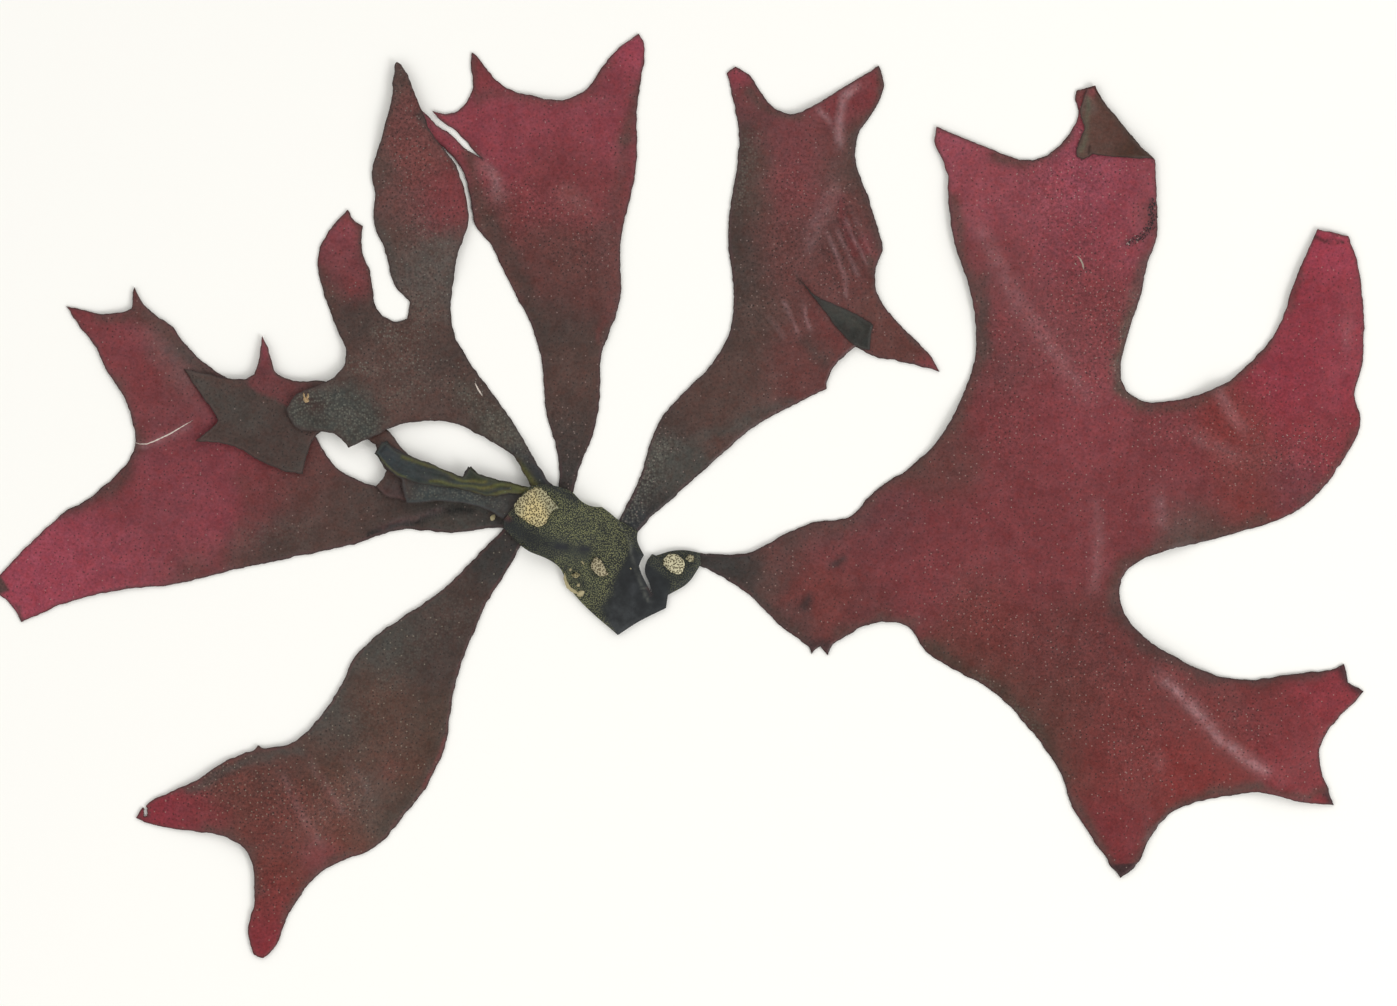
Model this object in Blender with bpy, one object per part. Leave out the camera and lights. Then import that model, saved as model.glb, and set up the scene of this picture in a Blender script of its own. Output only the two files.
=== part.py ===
"""Mazzaella phyllocarpa, a leafy red seaweed, pressed and dried flat.

Eight fronds spread from one small holdfast blade and lie on the surface, partly over each other.
Pale moss-animal crusts grow on the holdfast blade.
Metres, +Z up. The origin is on the surface, under the middle of the plant's outline.
Outlines are in millimetres on the pressing sheet: x to the right from its left edge,
y downwards from its top edge. TIP marks a corner, and the margin is a smooth curve elsewhere.
"""
import math

import bmesh
import bpy
from mathutils import Vector
from mathutils.geometry import delaunay_2d_cdt

MM = 0.001
TIP = True

# The sheet's point that becomes the origin, the middle of the plant's outline.
SHEET_MIDDLE = (135.6, 99.2)

# A dry blade is a leathery sheet. Where two lie on each other, one rests a little above the other.
BLADE_THICKNESS = 0.65
LAYER_CLEARANCE = 0.45
LAYER_STEP = BLADE_THICKNESS + LAYER_CLEARANCE
FOLD_THICKNESS = 0.8
ROOT_GAP = 0.35

# A blade stays raised this far past the margin of what it lies on, and is down again at the second.
RAISED_REACH = 5.0
LOWERED_REACH = 15.0

# The holdfast blade is a thick pad at its left end, where the fronds on the left grow out.
HOLDFAST_THICKNESS = 3.3
BASE_THICKNESS = 1.15
HOLDFAST_MIDDLE = (105.5, 102.5)
HOLDFAST_REACH = (7.0, 17.0)
CRUST_THICKNESS = 0.7

# Spacing of the margin's points and of the points inside a blade.
FROND_SPACING = (2.6, 6.2)
BASE_SPACING = (1.3, 2.6)
CRUST_SPACING = (0.8, 1.6)

# Lines where a frond's root meets the holdfast blade, clockwise round that blade.
ROOT_LEFT = ((100.8, 105.6), (100.8, 104.0))
ROOT_STACK = ((100.8, 104.0), (105.6, 97.4))
ROOT_STALK = ((105.6, 97.4), (111.2, 96.9))
ROOT_MIDDLE = ((112.0, 97.4), (114.6, 98.4))
ROOT_UPPER_RIGHT = ((123.6, 104.0), (127.6, 106.2))
ROOT_RIGHT = ((140.0, 110.6), (140.2, 112.8))
ROOT_LOWER_LEFT = ((104.0, 109.0), (100.8, 105.6))

# Swells that the drying left in the blades: x, y, half length, half width, heading, height.
# The heading is in degrees from +x towards +y of the sheet.
SWELLS = (
    (205, 60, 26, 9, 62, 2.6),
    (199, 88, 16, 7, 20, 1.5),
    (246, 84, 12, 6, 60, 2.0),
    (262, 66, 18, 6, 95, 1.7),
    (232, 103, 12, 5, 80, 1.8),
    (214, 108, 13, 6, 85, 1.6),
    (190, 112, 16, 6, 150, 1.4),
    (240, 142, 24, 5, 42, 2.8),
    (222, 156, 14, 5, 75, 1.6),
    (256, 148, 10, 5, 100, 1.4),
    (158, 116, 12, 5, 40, 0.9),
    (224, 40, 16, 6, 100, 1.8),
    (162, 60, 13, 5, 60, 1.9),
    (160, 32, 14, 6, 100, 1.5),
    (170, 52, 8, 4, 60, 1.2),
    (148, 78, 14, 5, 125, 1.0),
    (112, 34, 18, 6, 80, 1.3),
    (118, 56, 15, 5, 95, 0.9),
    (82, 30, 14, 5, 95, 1.0),
    (30, 74, 13, 6, 60, 1.6),
    (34, 108, 16, 5, 155, 1.4),
    (62, 100, 18, 6, 165, 0.7),
    (58, 160, 17, 8, 150, 2.2),
    (44, 158, 9, 5, 160, 1.2),
    (74, 145, 22, 7, 125, 1.4),
    (53, 182, 9, 3, 95, 0.8),
)

BASE_BLADE = (
    (100.8, 105.6, TIP), (100.8, 104.0, TIP), (105.6, 97.4, TIP), (108.8, 96.8),
    (112.0, 97.4, TIP), (114.6, 98.4, TIP), (116.4, 100.4), (118.8, 101.4), (120.4, 101.4, TIP),
    (121.8, 102.4), (123.6, 104.0, TIP), (127.6, 106.2, TIP), (127.4, 108.2), (128.8, 111.0, TIP),
    (127.8, 113.2), (129.0, 116.2), (130.4, 118.8, TIP), (129.8, 116.4), (128.9, 114.4),
    (129.4, 112.0), (130.4, 110.8, TIP), (131.2, 111.1), (134.0, 110.2), (137.2, 110.0),
    (140.0, 110.6, TIP), (140.2, 112.8, TIP), (137.6, 116.6), (133.6, 119.0, TIP),
    (133.2, 121.6, TIP), (127.6, 124.4), (123.6, 127.0, TIP), (117.0, 121.2), (113.2, 116.6),
    (112.4, 114.0), (110.0, 112.0), (106.0, 110.4, TIP), (104.0, 109.0, TIP),
)

FROND_LEFT = (
    (98.0, 105.4), (91.8, 106.6), (79.6, 105.9), (72.0, 108.5), (60.0, 111.2), (45.9, 114.2),
    (34.2, 117.0), (25.8, 117.7), (12.4, 120.7), (6.9, 123.4), (4.2, 124.3, TIP), (2.5, 120.8),
    (-0.8, 118.8), (-1.6, 117.0), (0.2, 114.8), (5.0, 109.6), (13.4, 102.0), (17.0, 100.3),
    (24.4, 93.8), (26.9, 90.2), (26.8, 85.6), (25.2, 80.0), (21.0, 73.6), (19.4, 69.4),
    (17.0, 66.8), (13.3, 61.2, TIP), (20.0, 62.8), (23.0, 62.9), (26.3, 61.8), (26.7, 58.3),
    (27.0, 57.5, TIP), (28.2, 60.2), (31.8, 63.6), (34.2, 64.8), (36.4, 68.1), (40.2, 72.0),
    (45.7, 75.8), (53.2, 79.2), (60.4, 84.0), (63.6, 87.9), (66.0, 92.4), (70.0, 95.4),
    (75.2, 97.2), (86.0, 98.6), (95.0, 100.0), (99.2, 102.0),
)

FROND_HORNED = (
    (97.6, 101.4), (89.6, 99.8), (82.4, 100.4), (79.6, 99.8), (76.6, 99.2), (75.2, 97.2, TIP),
    (76.8, 95.4), (77.4, 94.2), (75.8, 92.0), (75.1, 88.9), (72.8, 87.5), (67.0, 85.6),
    (64.4, 85.8), (61.8, 89.6), (60.6, 94.8, TIP), (56.0, 94.0), (50.9, 91.4), (46.2, 89.0),
    (39.0, 88.2, TIP), (42.6, 85.4), (43.6, 84.0), (43.2, 82.8), (40.2, 79.0), (36.9, 73.8, TIP),
    (42.8, 75.1), (48.6, 76.2), (51.0, 74.8), (51.8, 71.9), (52.5, 67.0, TIP), (53.8, 70.0),
    (55.2, 74.8), (58.2, 76.3), (65.6, 76.4), (73.0, 82.2), (77.6, 85.9), (81.4, 90.8),
    (90.0, 95.4), (99.0, 98.6),
)

FROND_GREEN = (
    (98.0, 102.0), (89.6, 100.2), (81.4, 100.8, TIP), (80.8, 98.4), (80.3, 95.9, TIP),
    (77.4, 93.8), (75.2, 90.2, TIP), (76.6, 88.3, TIP), (81.4, 90.8), (90.0, 94.4),
    (92.6, 95.4), (93.6, 93.3, TIP), (95.6, 94.8), (99.7, 95.9),
)
GREEN_FOLD = (
    (79.0, 95.4), (86.3, 97.0), (91.2, 97.3), (97.4, 99.2), (101.8, 98.4), (106.5, 98.9),
    (107.0, 93.0), (93.6, 91.5), (81.0, 88.6), (79.6, 91.4),
)

FROND_UPPER_LEFT = (
    (109.8, 95.4), (106.0, 90.8), (105.7, 89.5, TIP), (100.6, 81.6), (94.0, 72.6), (90.6, 66.6),
    (90.1, 63.2), (90.6, 56.4), (91.8, 49.8), (93.8, 44.8), (93.2, 39.4), (91.0, 32.6),
    (86.8, 27.6), (84.4, 22.2), (80.8, 13.4), (79.4, 12.4), (78.8, 13.2), (78.5, 19.4),
    (75.6, 30.1), (74.2, 34.4), (75.1, 38.8), (74.6, 44.6), (77.0, 49.8), (78.5, 56.8, TIP),
    (82.0, 60.6), (81.4, 63.8), (77.4, 64.0), (74.9, 61.0), (74.4, 55.8), (72.0, 48.4),
    (72.6, 45.4), (70.1, 43.6), (69.6, 41.9, TIP), (65.8, 46.0), (63.6, 50.8), (64.0, 56.2),
    (66.8, 64.4), (69.6, 71.2), (68.4, 74.2), (63.6, 77.2), (58.8, 79.0), (57.3, 82.0),
    (58.8, 85.4), (60.4, 86.2), (65.0, 86.3), (68.0, 87.0), (69.8, 89.6, TIP), (74.5, 87.4),
    (81.0, 84.6), (90.0, 84.4), (96.0, 87.0), (103.2, 91.4, TIP), (104.9, 95.0),
)
# The shoulder of the upper middle frond, which the spindle of the upper left one lies on.
SHOULDER = ((81.0, 20.0), (88.0, 20.0), (97.0, 36.0), (96.5, 46.0), (93.5, 46.0), (88.0, 31.0))

FROND_UPPER_MIDDLE = (
    (112.0, 93.6), (110.6, 87.2), (109.3, 83.6), (108.8, 77.6), (108.0, 70.2), (105.3, 62.9),
    (101.8, 56.6), (98.2, 48.8), (95.1, 45.4), (94.2, 40.6), (92.8, 34.4), (89.7, 30.4),
    (84.8, 26.2), (82.6, 22.2, TIP), (84.4, 22.2, TIP), (87.0, 24.8), (90.4, 27.0),
    (92.0, 28.8), (93.8, 30.1), (96.4, 31.8, TIP), (93.8, 29.0), (91.7, 26.4), (88.8, 24.8), (86.4, 22.2, TIP),
    (90.8, 22.8), (93.8, 19.8), (94.8, 17.2), (94.0, 12.5), (94.4, 10.5, TIP), (95.3, 11.0),
    (98.0, 14.8), (101.6, 17.9), (107.6, 19.4), (112.4, 20.2), (118.0, 17.4), (120.2, 13.6),
    (124.8, 8.6), (127.8, 6.8), (129.1, 9.0), (127.4, 21.6), (127.2, 34.0), (124.2, 47.5),
    (124.0, 60.4), (120.2, 71.0), (120.0, 79.6), (118.8, 86.3), (115.6, 94.3),
)

FROND_UPPER_RIGHT = (
    (128.4, 105.0), (133.8, 100.3), (145.4, 89.9), (151.8, 84.7), (165.4, 77.7, TIP),
    (165.4, 76.2), (167.4, 72.4), (171.2, 69.4, TIP), (174.4, 71.2), (181.4, 72.6),
    (187.9, 74.2, TIP), (186.4, 71.4), (177.6, 62.4), (175.4, 58.6), (175.0, 54.2),
    (176.7, 49.5, TIP), (173.8, 39.8), (171.2, 33.0), (171.4, 27.0), (174.4, 23.0),
    (176.0, 20.1), (177.1, 16.3, TIP), (175.8, 13.1, TIP), (167.8, 18.0), (158.5, 23.0),
    (153.8, 20.8), (149.6, 14.6), (147.0, 13.3, TIP), (145.4, 14.6, TIP), (147.8, 28.0),
    (145.6, 45.7), (146.8, 59.6), (145.8, 66.8), (142.4, 72.8), (133.1, 82.4), (130.0, 88.6),
    (128.1, 95.5), (125.6, 100.5),
)
PLEAT = (
    (162.6, 58.8), (169.0, 61.8), (174.6, 65.2), (174.4, 69.0), (174.4, 72.6), (171.0, 70.4),
    (169.5, 67.9), (164.8, 62.2),
)

FROND_RIGHT = (
    (141.8, 113.6), (149.8, 119.0), (155.3, 124.5), (158.8, 127.2), (161.9, 129.3), (162.4, 130.8, TIP),
    (163.9, 129.2), (165.6, 131.0, TIP), (166.2, 129.2), (174.7, 124.6), (182.2, 125.5),
    (184.3, 129.6), (189.5, 133.2), (198.0, 137.8), (204.0, 143.5), (212.0, 154.2),
    (214.0, 160.5), (217.5, 166.2), (224.0, 175.6, TIP), (227.4, 173.2, TIP), (231.6, 164.9),
    (236.3, 161.3), (249.0, 158.6), (253.2, 158.6), (259.2, 160.3), (266.8, 161.0, TIP),
    (263.7, 151.4), (266.4, 144.8), (270.4, 141.2, TIP), (272.7, 138.2, TIP), (269.6, 136.4),
    (268.8, 132.8, TIP), (266.8, 133.9), (259.0, 134.7), (251.1, 135.9), (243.5, 135.2), (230.0, 128.4),
    (224.5, 122.1), (224.5, 115.2), (230.0, 111.2), (246.0, 107.0), (259.1, 102.4),
    (265.4, 96.6), (272.0, 86.0), (272.2, 83.2), (270.7, 79.0), (272.5, 73.5, TIP),
    (272.8, 62.6), (271.5, 52.6), (269.6, 47.2, TIP), (263.4, 45.8, TIP), (258.2, 58.0), (256.4, 64.1), (251.6, 71.0),
    (243.0, 77.7), (229.8, 80.6), (225.2, 78.2), (224.0, 73.1), (228.4, 58.1), (229.7, 51.8), (231.4, 47.6),
    (231.0, 32.0, TIP), (225.0, 26.4), (218.6, 17.2, TIP), (215.2, 18.2, TIP),
    (214.8, 19.5, TIP), (215.9, 22.2), (214.0, 26.6), (210.2, 30.6), (205.4, 32.2),
    (197.6, 29.6), (187.2, 25.4, TIP), (186.6, 28.0), (189.4, 34.4), (189.6, 39.4),
    (190.9, 49.2), (193.6, 56.4), (195.2, 66.4), (194.6, 73.4), (189.2, 85.7), (182.3, 93.3), (174.7, 98.2),
    (169.8, 103.6), (163.6, 104.2), (157.0, 106.8), (149.8, 110.6),
)
TURNED_TIP = (
    (213.6, 21.8), (216.7, 24.8), (215.2, 30.4), (217.4, 31.4), (225.4, 31.4), (232.5, 31.8),
    (232.0, 28.0), (219.6, 15.4), (213.6, 17.4),
)

FROND_LOWER_LEFT = (
    (96.3, 110.2), (87.7, 118.6), (76.3, 126.3), (70.4, 132.0), (68.9, 135.8), (63.7, 143.7),
    (58.2, 148.8), (51.6, 149.8), (44.6, 152.4), (39.2, 156.2), (29.0, 160.8), (27.2, 163.5, TIP),
    (30.2, 165.0), (45.8, 167.5), (50.1, 171.1), (50.9, 176.8), (50.7, 181.8), (49.4, 185.2),
    (50.8, 191.0), (52.6, 191.6), (55.0, 190.0), (57.8, 182.5), (64.9, 173.8), (75.0, 169.5),
    (80.6, 163.2), (84.8, 158.2), (89.2, 149.3, TIP), (91.4, 135.7), (97.2, 120.9),
    (101.8, 113.6),
)

CRUSTS = {
    "crust_holdfast": (
        (102.9, 101.7), (105.8, 98.1), (108.2, 97.6), (110.4, 100.0), (111.8, 101.6, TIP),
        (110.4, 102.2), (108.6, 105.2), (105.6, 104.4),
    ),
    "crust_middle": (
        (118.2, 113.2), (119.4, 111.5), (121.7, 114.8, TIP), (120.0, 115.3),
    ),
    "crust_left_margin": (
        (114.3, 115.0), (115.2, 114.4), (116.1, 115.0), (115.2, 115.7),
    ),
    "crust_right_stub": (
        (132.5, 112.4), (133.6, 110.9), (135.6, 110.9), (137.0, 113.0), (136.2, 114.8),
        (134.0, 114.2),
    ),
    "crust_neck": (
        (137.1, 111.6), (138.0, 110.8), (138.9, 111.6), (138.0, 112.4),
    ),
}


def smooth_margin(points, spacing):
    """Follow the points round in a smooth curve that turns sharply only at a TIP."""
    margin = []
    count = len(points)
    for index in range(count):
        before, start, end, after = (points[(index + step) % count] for step in (-1, 0, 1, 2))
        start_is_tip, end_is_tip = len(start) > 2, len(end) > 2
        a, b = Vector(start[:2]), Vector(end[:2])
        reach = (b - a).length
        leaving = (b - a) if start_is_tip else (b - Vector(before[:2]))
        arriving = (b - a) if end_is_tip else (Vector(after[:2]) - a)
        leaving, arriving = leaving.normalized() * reach, arriving.normalized() * reach
        steps = max(1, round(reach / spacing))
        for step in range(steps):
            t = step / steps
            margin.append(
                a * (2 * t**3 - 3 * t**2 + 1) + leaving * (t**3 - 2 * t**2 + t)
                + b * (3 * t**2 - 2 * t**3) + arriving * (t**3 - t**2)
            )
    return margin


def distance_to_segment(point, a, b):
    along = b - a
    t = max(0.0, min(1.0, (point - a).dot(along) / max(along.length_squared, 1e-9)))
    return (point - a - along * t).length


def distance_to_margin(point, margin):
    return min(distance_to_segment(point, margin[i - 1], margin[i]) for i in range(len(margin)))


def is_inside(point, margin):
    inside = False
    for index in range(len(margin)):
        a, b = margin[index - 1], margin[index]
        if (a.y > point.y) != (b.y > point.y):
            if point.x < a.x + (b.x - a.x) * (point.y - a.y) / (b.y - a.y):
                inside = not inside
    return inside


def ease(value, low, high):
    t = max(0.0, min(1.0, (value - low) / (high - low)))
    return t * t * (3 - 2 * t)


def ground(point):
    """Height of the lowest blade's underside: flat on the surface but for the swells."""
    height = 0.0
    for x, y, half_length, half_width, heading, swell in SWELLS:
        turn = math.radians(heading)
        dx, dy = point.x - x, point.y - y
        along = (dx * math.cos(turn) + dy * math.sin(turn)) / half_length
        across = (dy * math.cos(turn) - dx * math.sin(turn)) / half_width
        height += swell * math.exp(-along * along - across * across)
    return height


def raised(point, lower_margins):
    """Extra height where a blade lies on others, easing down past their margins."""
    height = 0.0
    for margin in lower_margins:
        away = 0.0 if is_inside(point, margin) else distance_to_margin(point, margin)
        height += LAYER_STEP * (1.0 - ease(away, RAISED_REACH, LOWERED_REACH))
    return height


def stand_off(root_line):
    """A root line moved out from the holdfast blade by the gap between the two pieces."""
    a, b = Vector(root_line[0]), Vector(root_line[1])
    along = (b - a).normalized()
    out = Vector((along.y, -along.x)) * ROOT_GAP
    return a + out, b + out


def with_root(outline, root_line, start_share=0.0, end_share=1.0):
    """Close a frond's outline with its root, a straight cut along the holdfast blade."""
    a, b = stand_off(root_line)
    ends = [a.lerp(b, start_share), a.lerp(b, end_share)]
    ends.sort(key=lambda end: -(end - Vector(outline[0][:2])).length)
    return tuple((end.x, end.y, TIP) for end in ends) + outline


def raise_region(mesh, faces, level):
    """Extrude a region of faces straight up and mark its new corners with their level."""
    edges = list({edge for face in faces for edge in face.edges})
    lifted = bmesh.ops.extrude_face_region(mesh, geom=list(faces) + edges)["geom"]
    for vert in (part for part in lifted if isinstance(part, bmesh.types.BMVert)):
        vert.co.z = level


def split_into_triangles(margin, creases, spacing):
    """Fill a margin with triangles, with inner points in rows and edges along the creases."""
    points = list(margin)
    edges = [(i, (i + 1) % len(margin)) for i in range(len(margin))]
    for crease in creases:
        start = len(points)
        points += crease
        edges += [(start + i, start + (i + 1) % len(crease)) for i in range(len(crease))]
    clear = spacing * 0.42
    lines = [margin] + creases
    left, right = min(p.x for p in margin), max(p.x for p in margin)
    top, bottom = min(p.y for p in margin), max(p.y for p in margin)
    row_height = spacing * math.sqrt(3) / 2
    for row in range(int((bottom - top) / row_height) + 2):
        shift = spacing / 2 if row % 2 else 0.0
        for column in range(int((right - left) / spacing) + 2):
            point = Vector((left + shift + column * spacing, top + row * row_height))
            if is_inside(point, margin) and all(distance_to_margin(point, l) > clear for l in lines):
                points.append(point)
    found = delaunay_2d_cdt(points, edges, [], 0, 1e-4)
    corners, triangles = found[0], found[2]
    kept = [t for t in triangles if is_inside(sum((corners[i] for i in t), Vector((0, 0))) / 3, margin)]
    return corners, kept


def make_sheet(name, outline, colour, underside, thickness, folds=(), spacing=FROND_SPACING):
    """A thin solid on an outline, with both faces split alike and double where it is folded."""
    margin = smooth_margin(outline, spacing[0])
    creases = [smooth_margin(fold, spacing[0]) for fold in folds]
    corners, triangles = split_into_triangles(margin, creases, spacing[1])
    mesh = bmesh.new()
    used = sorted({i for t in triangles for i in t})
    placed = {i: mesh.verts.new((corners[i].x, corners[i].y, 0)) for i in used}
    for triangle in triangles:
        mesh.faces.new([placed[i] for i in triangle])
    mesh.normal_update()
    for face in mesh.faces:
        if face.normal.z < 0:
            face.normal_flip()
    raise_region(mesh, mesh.faces, 1)
    for crease in creases:
        double = [
            f for f in mesh.faces
            if all(v.co.z == 1 for v in f.verts) and is_inside(f.calc_center_median().xy, crease)
        ]
        raise_region(mesh, double, 2)
    for vert in mesh.verts:
        place = vert.co.xy
        height = underside(place)
        if vert.co.z > 0.5:
            height += thickness(place)
        if vert.co.z > 1.5:
            height += FOLD_THICKNESS
        vert.co = (
            (place.x - SHEET_MIDDLE[0]) * MM,
            (SHEET_MIDDLE[1] - place.y) * MM,
            height * MM,
        )
    bmesh.ops.recalc_face_normals(mesh, faces=mesh.faces)
    if mesh.calc_volume(signed=True) < 0:
        bmesh.ops.reverse_faces(mesh, faces=mesh.faces)
    data = bpy.data.meshes.new(name)
    mesh.to_mesh(data)
    mesh.free()
    data.materials.append(make_material(name, colour))
    piece = bpy.data.objects.new(name, data)
    collection.objects.link(piece)
    return margin


def make_material(name, colour):
    material = bpy.data.materials.new(name)
    material.use_nodes = True
    shader = material.node_tree.nodes["Principled BSDF"]
    shader.inputs["Base Color"].default_value = (*colour, 1.0)
    shader.inputs["Roughness"].default_value = 0.45
    shader.inputs["Metallic"].default_value = 0.0
    return material


def blade_thickness(point):
    return BLADE_THICKNESS


def base_thickness(point):
    """The holdfast blade: a thick pad round the holdfast, thinning to a leathery plate."""
    near, far = HOLDFAST_REACH
    away = (point - Vector(HOLDFAST_MIDDLE)).length
    return HOLDFAST_THICKNESS + (BASE_THICKNESS - HOLDFAST_THICKNESS) * ease(away, near, far)


for old in list(bpy.data.objects):
    bpy.data.objects.remove(old)
collection = bpy.data.collections.new("mazzaella_phyllocarpa")
bpy.context.scene.collection.children.link(collection)

CRIMSON = (0.19, 0.032, 0.042)
BROWN = (0.085, 0.045, 0.038)
GREEN_BLACK = (0.032, 0.042, 0.045)
GREY_BROWN = (0.075, 0.06, 0.05)
CREAM = (0.47, 0.44, 0.28)

# The holdfast blade: the old thick blade at the middle, cracked on its right, flat underneath.
make_sheet(
    "base_blade", BASE_BLADE, GREEN_BLACK, lambda point: 0.0, base_thickness,
    spacing=BASE_SPACING,
)

# Fronds that lie straight on the surface.
left_margin = make_sheet(
    "frond_left", with_root(FROND_LEFT, ROOT_LEFT), BROWN, ground, blade_thickness
)
make_sheet(
    "frond_upper_middle", with_root(FROND_UPPER_MIDDLE, ROOT_MIDDLE), CRIMSON, ground,
    blade_thickness,
)
make_sheet(
    "frond_upper_right", with_root(FROND_UPPER_RIGHT, ROOT_UPPER_RIGHT), CRIMSON, ground,
    blade_thickness, folds=[PLEAT],
)
make_sheet(
    "frond_right", with_root(FROND_RIGHT, ROOT_RIGHT), CRIMSON, ground, blade_thickness,
    folds=[TURNED_TIP],
)
make_sheet(
    "frond_lower_left", with_root(FROND_LOWER_LEFT, ROOT_LOWER_LEFT), GREY_BROWN, ground,
    blade_thickness,
)

# The horned frond lies on the left one, and the green one on both.
horned_margin = make_sheet(
    "frond_horned", with_root(FROND_HORNED, ROOT_STACK, 0.0, 0.75), GREY_BROWN,
    lambda point: ground(point) + raised(point, [left_margin]), blade_thickness,
)
make_sheet(
    "frond_green", with_root(FROND_GREEN, ROOT_STACK), GREEN_BLACK,
    lambda point: ground(point) + raised(point, [left_margin, horned_margin]), blade_thickness,
    folds=[GREEN_FOLD],
)

# The upper left frond's grey lobe lies on the left and horned fronds, its spindle on the shoulder.
shoulder = [Vector(point) for point in SHOULDER]
make_sheet(
    "frond_upper_left", with_root(FROND_UPPER_LEFT, ROOT_STALK, 0.12, 1.0), GREY_BROWN,
    lambda point: ground(point) + raised(point, [left_margin, horned_margin, shoulder]),
    blade_thickness,
)

# Moss-animal crusts, thin limy plates that follow the holdfast blade's upper face.
for crust_name, crust_outline in CRUSTS.items():
    make_sheet(
        crust_name, crust_outline, CREAM, lambda point: base_thickness(point) + ROOT_GAP,
        lambda point: CRUST_THICKNESS, spacing=CRUST_SPACING,
    )
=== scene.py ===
"""Mazzaella phyllocarpa, a leafy red seaweed, pressed and dried flat, seen from straight above.

Each frond is grown from the frame's own blade: its underside is taken, made fine and smooth,
given the ridges and wrinkles of drying, and thickened to a dry blade. Where a frond lies double,
the layer on top is grown from an outline of its own.
Places on the plant are in millimetres on the pressing sheet, x from its left edge and y down
from its top edge, as the frame's blades are laid out. Sizes are in millimetres too, and angles in
degrees.
"""
import math
import random

import bmesh
import bpy
import numpy as np
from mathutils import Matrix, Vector, bvhtree, kdtree, noise


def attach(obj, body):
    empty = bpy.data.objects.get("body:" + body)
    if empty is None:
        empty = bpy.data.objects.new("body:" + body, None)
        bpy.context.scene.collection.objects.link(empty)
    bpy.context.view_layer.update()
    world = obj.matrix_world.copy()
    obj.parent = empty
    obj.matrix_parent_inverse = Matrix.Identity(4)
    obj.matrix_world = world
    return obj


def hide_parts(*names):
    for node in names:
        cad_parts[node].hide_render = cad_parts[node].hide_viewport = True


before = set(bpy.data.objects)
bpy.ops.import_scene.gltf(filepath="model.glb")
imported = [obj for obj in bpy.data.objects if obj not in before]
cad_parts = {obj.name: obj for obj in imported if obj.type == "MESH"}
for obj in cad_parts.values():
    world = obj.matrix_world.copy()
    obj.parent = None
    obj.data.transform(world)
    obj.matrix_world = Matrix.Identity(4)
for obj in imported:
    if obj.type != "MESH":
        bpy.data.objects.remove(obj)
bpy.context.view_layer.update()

# The camera and the light.
# A flat scan: the view is straight down on a sheet 279.4 mm wide, lit softly from all round and a
# little more from the lower right. The sky overhead is dim, so the glossy blades keep their colour.
MM = 0.001
SHEET_MIDDLE = (135.6, 99.2)
VIEW_MIDDLE = (139.7, 100.6)
VIEW_WIDTH = 279.4
LENS = 300.0
SENSOR = 36.0
SKY_STRENGTH = 1.245
OVERHEAD_STRENGTH = 0.10
SOFT_BOX_SIZE = 500.0
SOFT_BOX_WATTS = 4.5
SOFT_BOX_PLACE = (800.0, -620.0, 850.0)
# The Map Range node takes its value at 0, the range it comes from at 1 and 2, and the range it
# goes to at 3 and 4. The Mix node takes its factor at 0 and its two colours at 6 and 7.
RANGE = "ShaderNodeMapRange"
MATHS = "ShaderNodeMath"
MIX = "ShaderNodeMix"


def on_sheet(x, y, z=0.0):
    """A place in metres from millimetres on the pressing sheet."""
    return Vector(((x - SHEET_MIDDLE[0]) * MM, (SHEET_MIDDLE[1] - y) * MM, z * MM))


def put_in_scene(name, data):
    """A new object on a mesh, a light or a camera."""
    thing = bpy.data.objects.new(name, data)
    bpy.context.scene.collection.objects.link(thing)
    return thing


def add(tree, kind, values=(), links=(), out=0, **settings):
    """Add a node with its settings, the values of its sockets and the links into them.

    It gives back the output that is wanted from the node, as a rule the first one.
    """
    node = tree.nodes.new(kind)
    for name, value in settings.items():
        setattr(node, name, value)
    for socket, value in dict(values).items():
        node.inputs[socket].default_value = value
    for socket, source in dict(links).items():
        tree.links.new(source, node.inputs[socket])
    return node.outputs[out]


lens = bpy.data.cameras.new("scan_camera")
lens.lens = LENS
lens.sensor_width = SENSOR
lens.sensor_fit = "HORIZONTAL"
lens.clip_end = 10.0
camera = put_in_scene("scan_camera", lens)
camera.location = on_sheet(*VIEW_MIDDLE, VIEW_WIDTH * LENS / SENSOR)
bpy.context.scene.camera = camera
bpy.context.scene.view_settings.view_transform = "Standard"

world = bpy.data.worlds.new("soft_studio")
world.use_nodes = True
sky = world.node_tree
upward = add(sky, "ShaderNodeSeparateXYZ", links={0: add(sky, "ShaderNodeTexCoord")}, out="Z")
ring = add(
    sky, RANGE, {1: 0.82, 2: 0.97, 3: SKY_STRENGTH, 4: OVERHEAD_STRENGTH}, {0: upward},
    interpolation_type="SMOOTHSTEP",
)
dim_horizon = add(
    sky, RANGE, {1: 0.05, 2: 0.6, 3: 0.15, 4: 1.0}, {0: upward}, interpolation_type="SMOOTHSTEP"
)
strength = add(sky, MATHS, links={0: ring, 1: dim_horizon}, operation="MULTIPLY")
sky.links.new(strength, sky.nodes["Background"].inputs["Strength"])
sky.nodes["Background"].inputs["Color"].default_value = (1.0, 0.995, 0.975, 1.0)
bpy.context.scene.world = world

box_light = bpy.data.lights.new("soft_box_lower_right", "AREA")
box_light.shape = "SQUARE"
box_light.size = SOFT_BOX_SIZE * MM
box_light.energy = SOFT_BOX_WATTS
soft_box = put_in_scene("soft_box_lower_right", box_light)
soft_box.location = Vector(SOFT_BOX_PLACE) * MM
soft_box.rotation_euler = (-soft_box.location).to_track_quat("-Z", "Y").to_euler()


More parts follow.
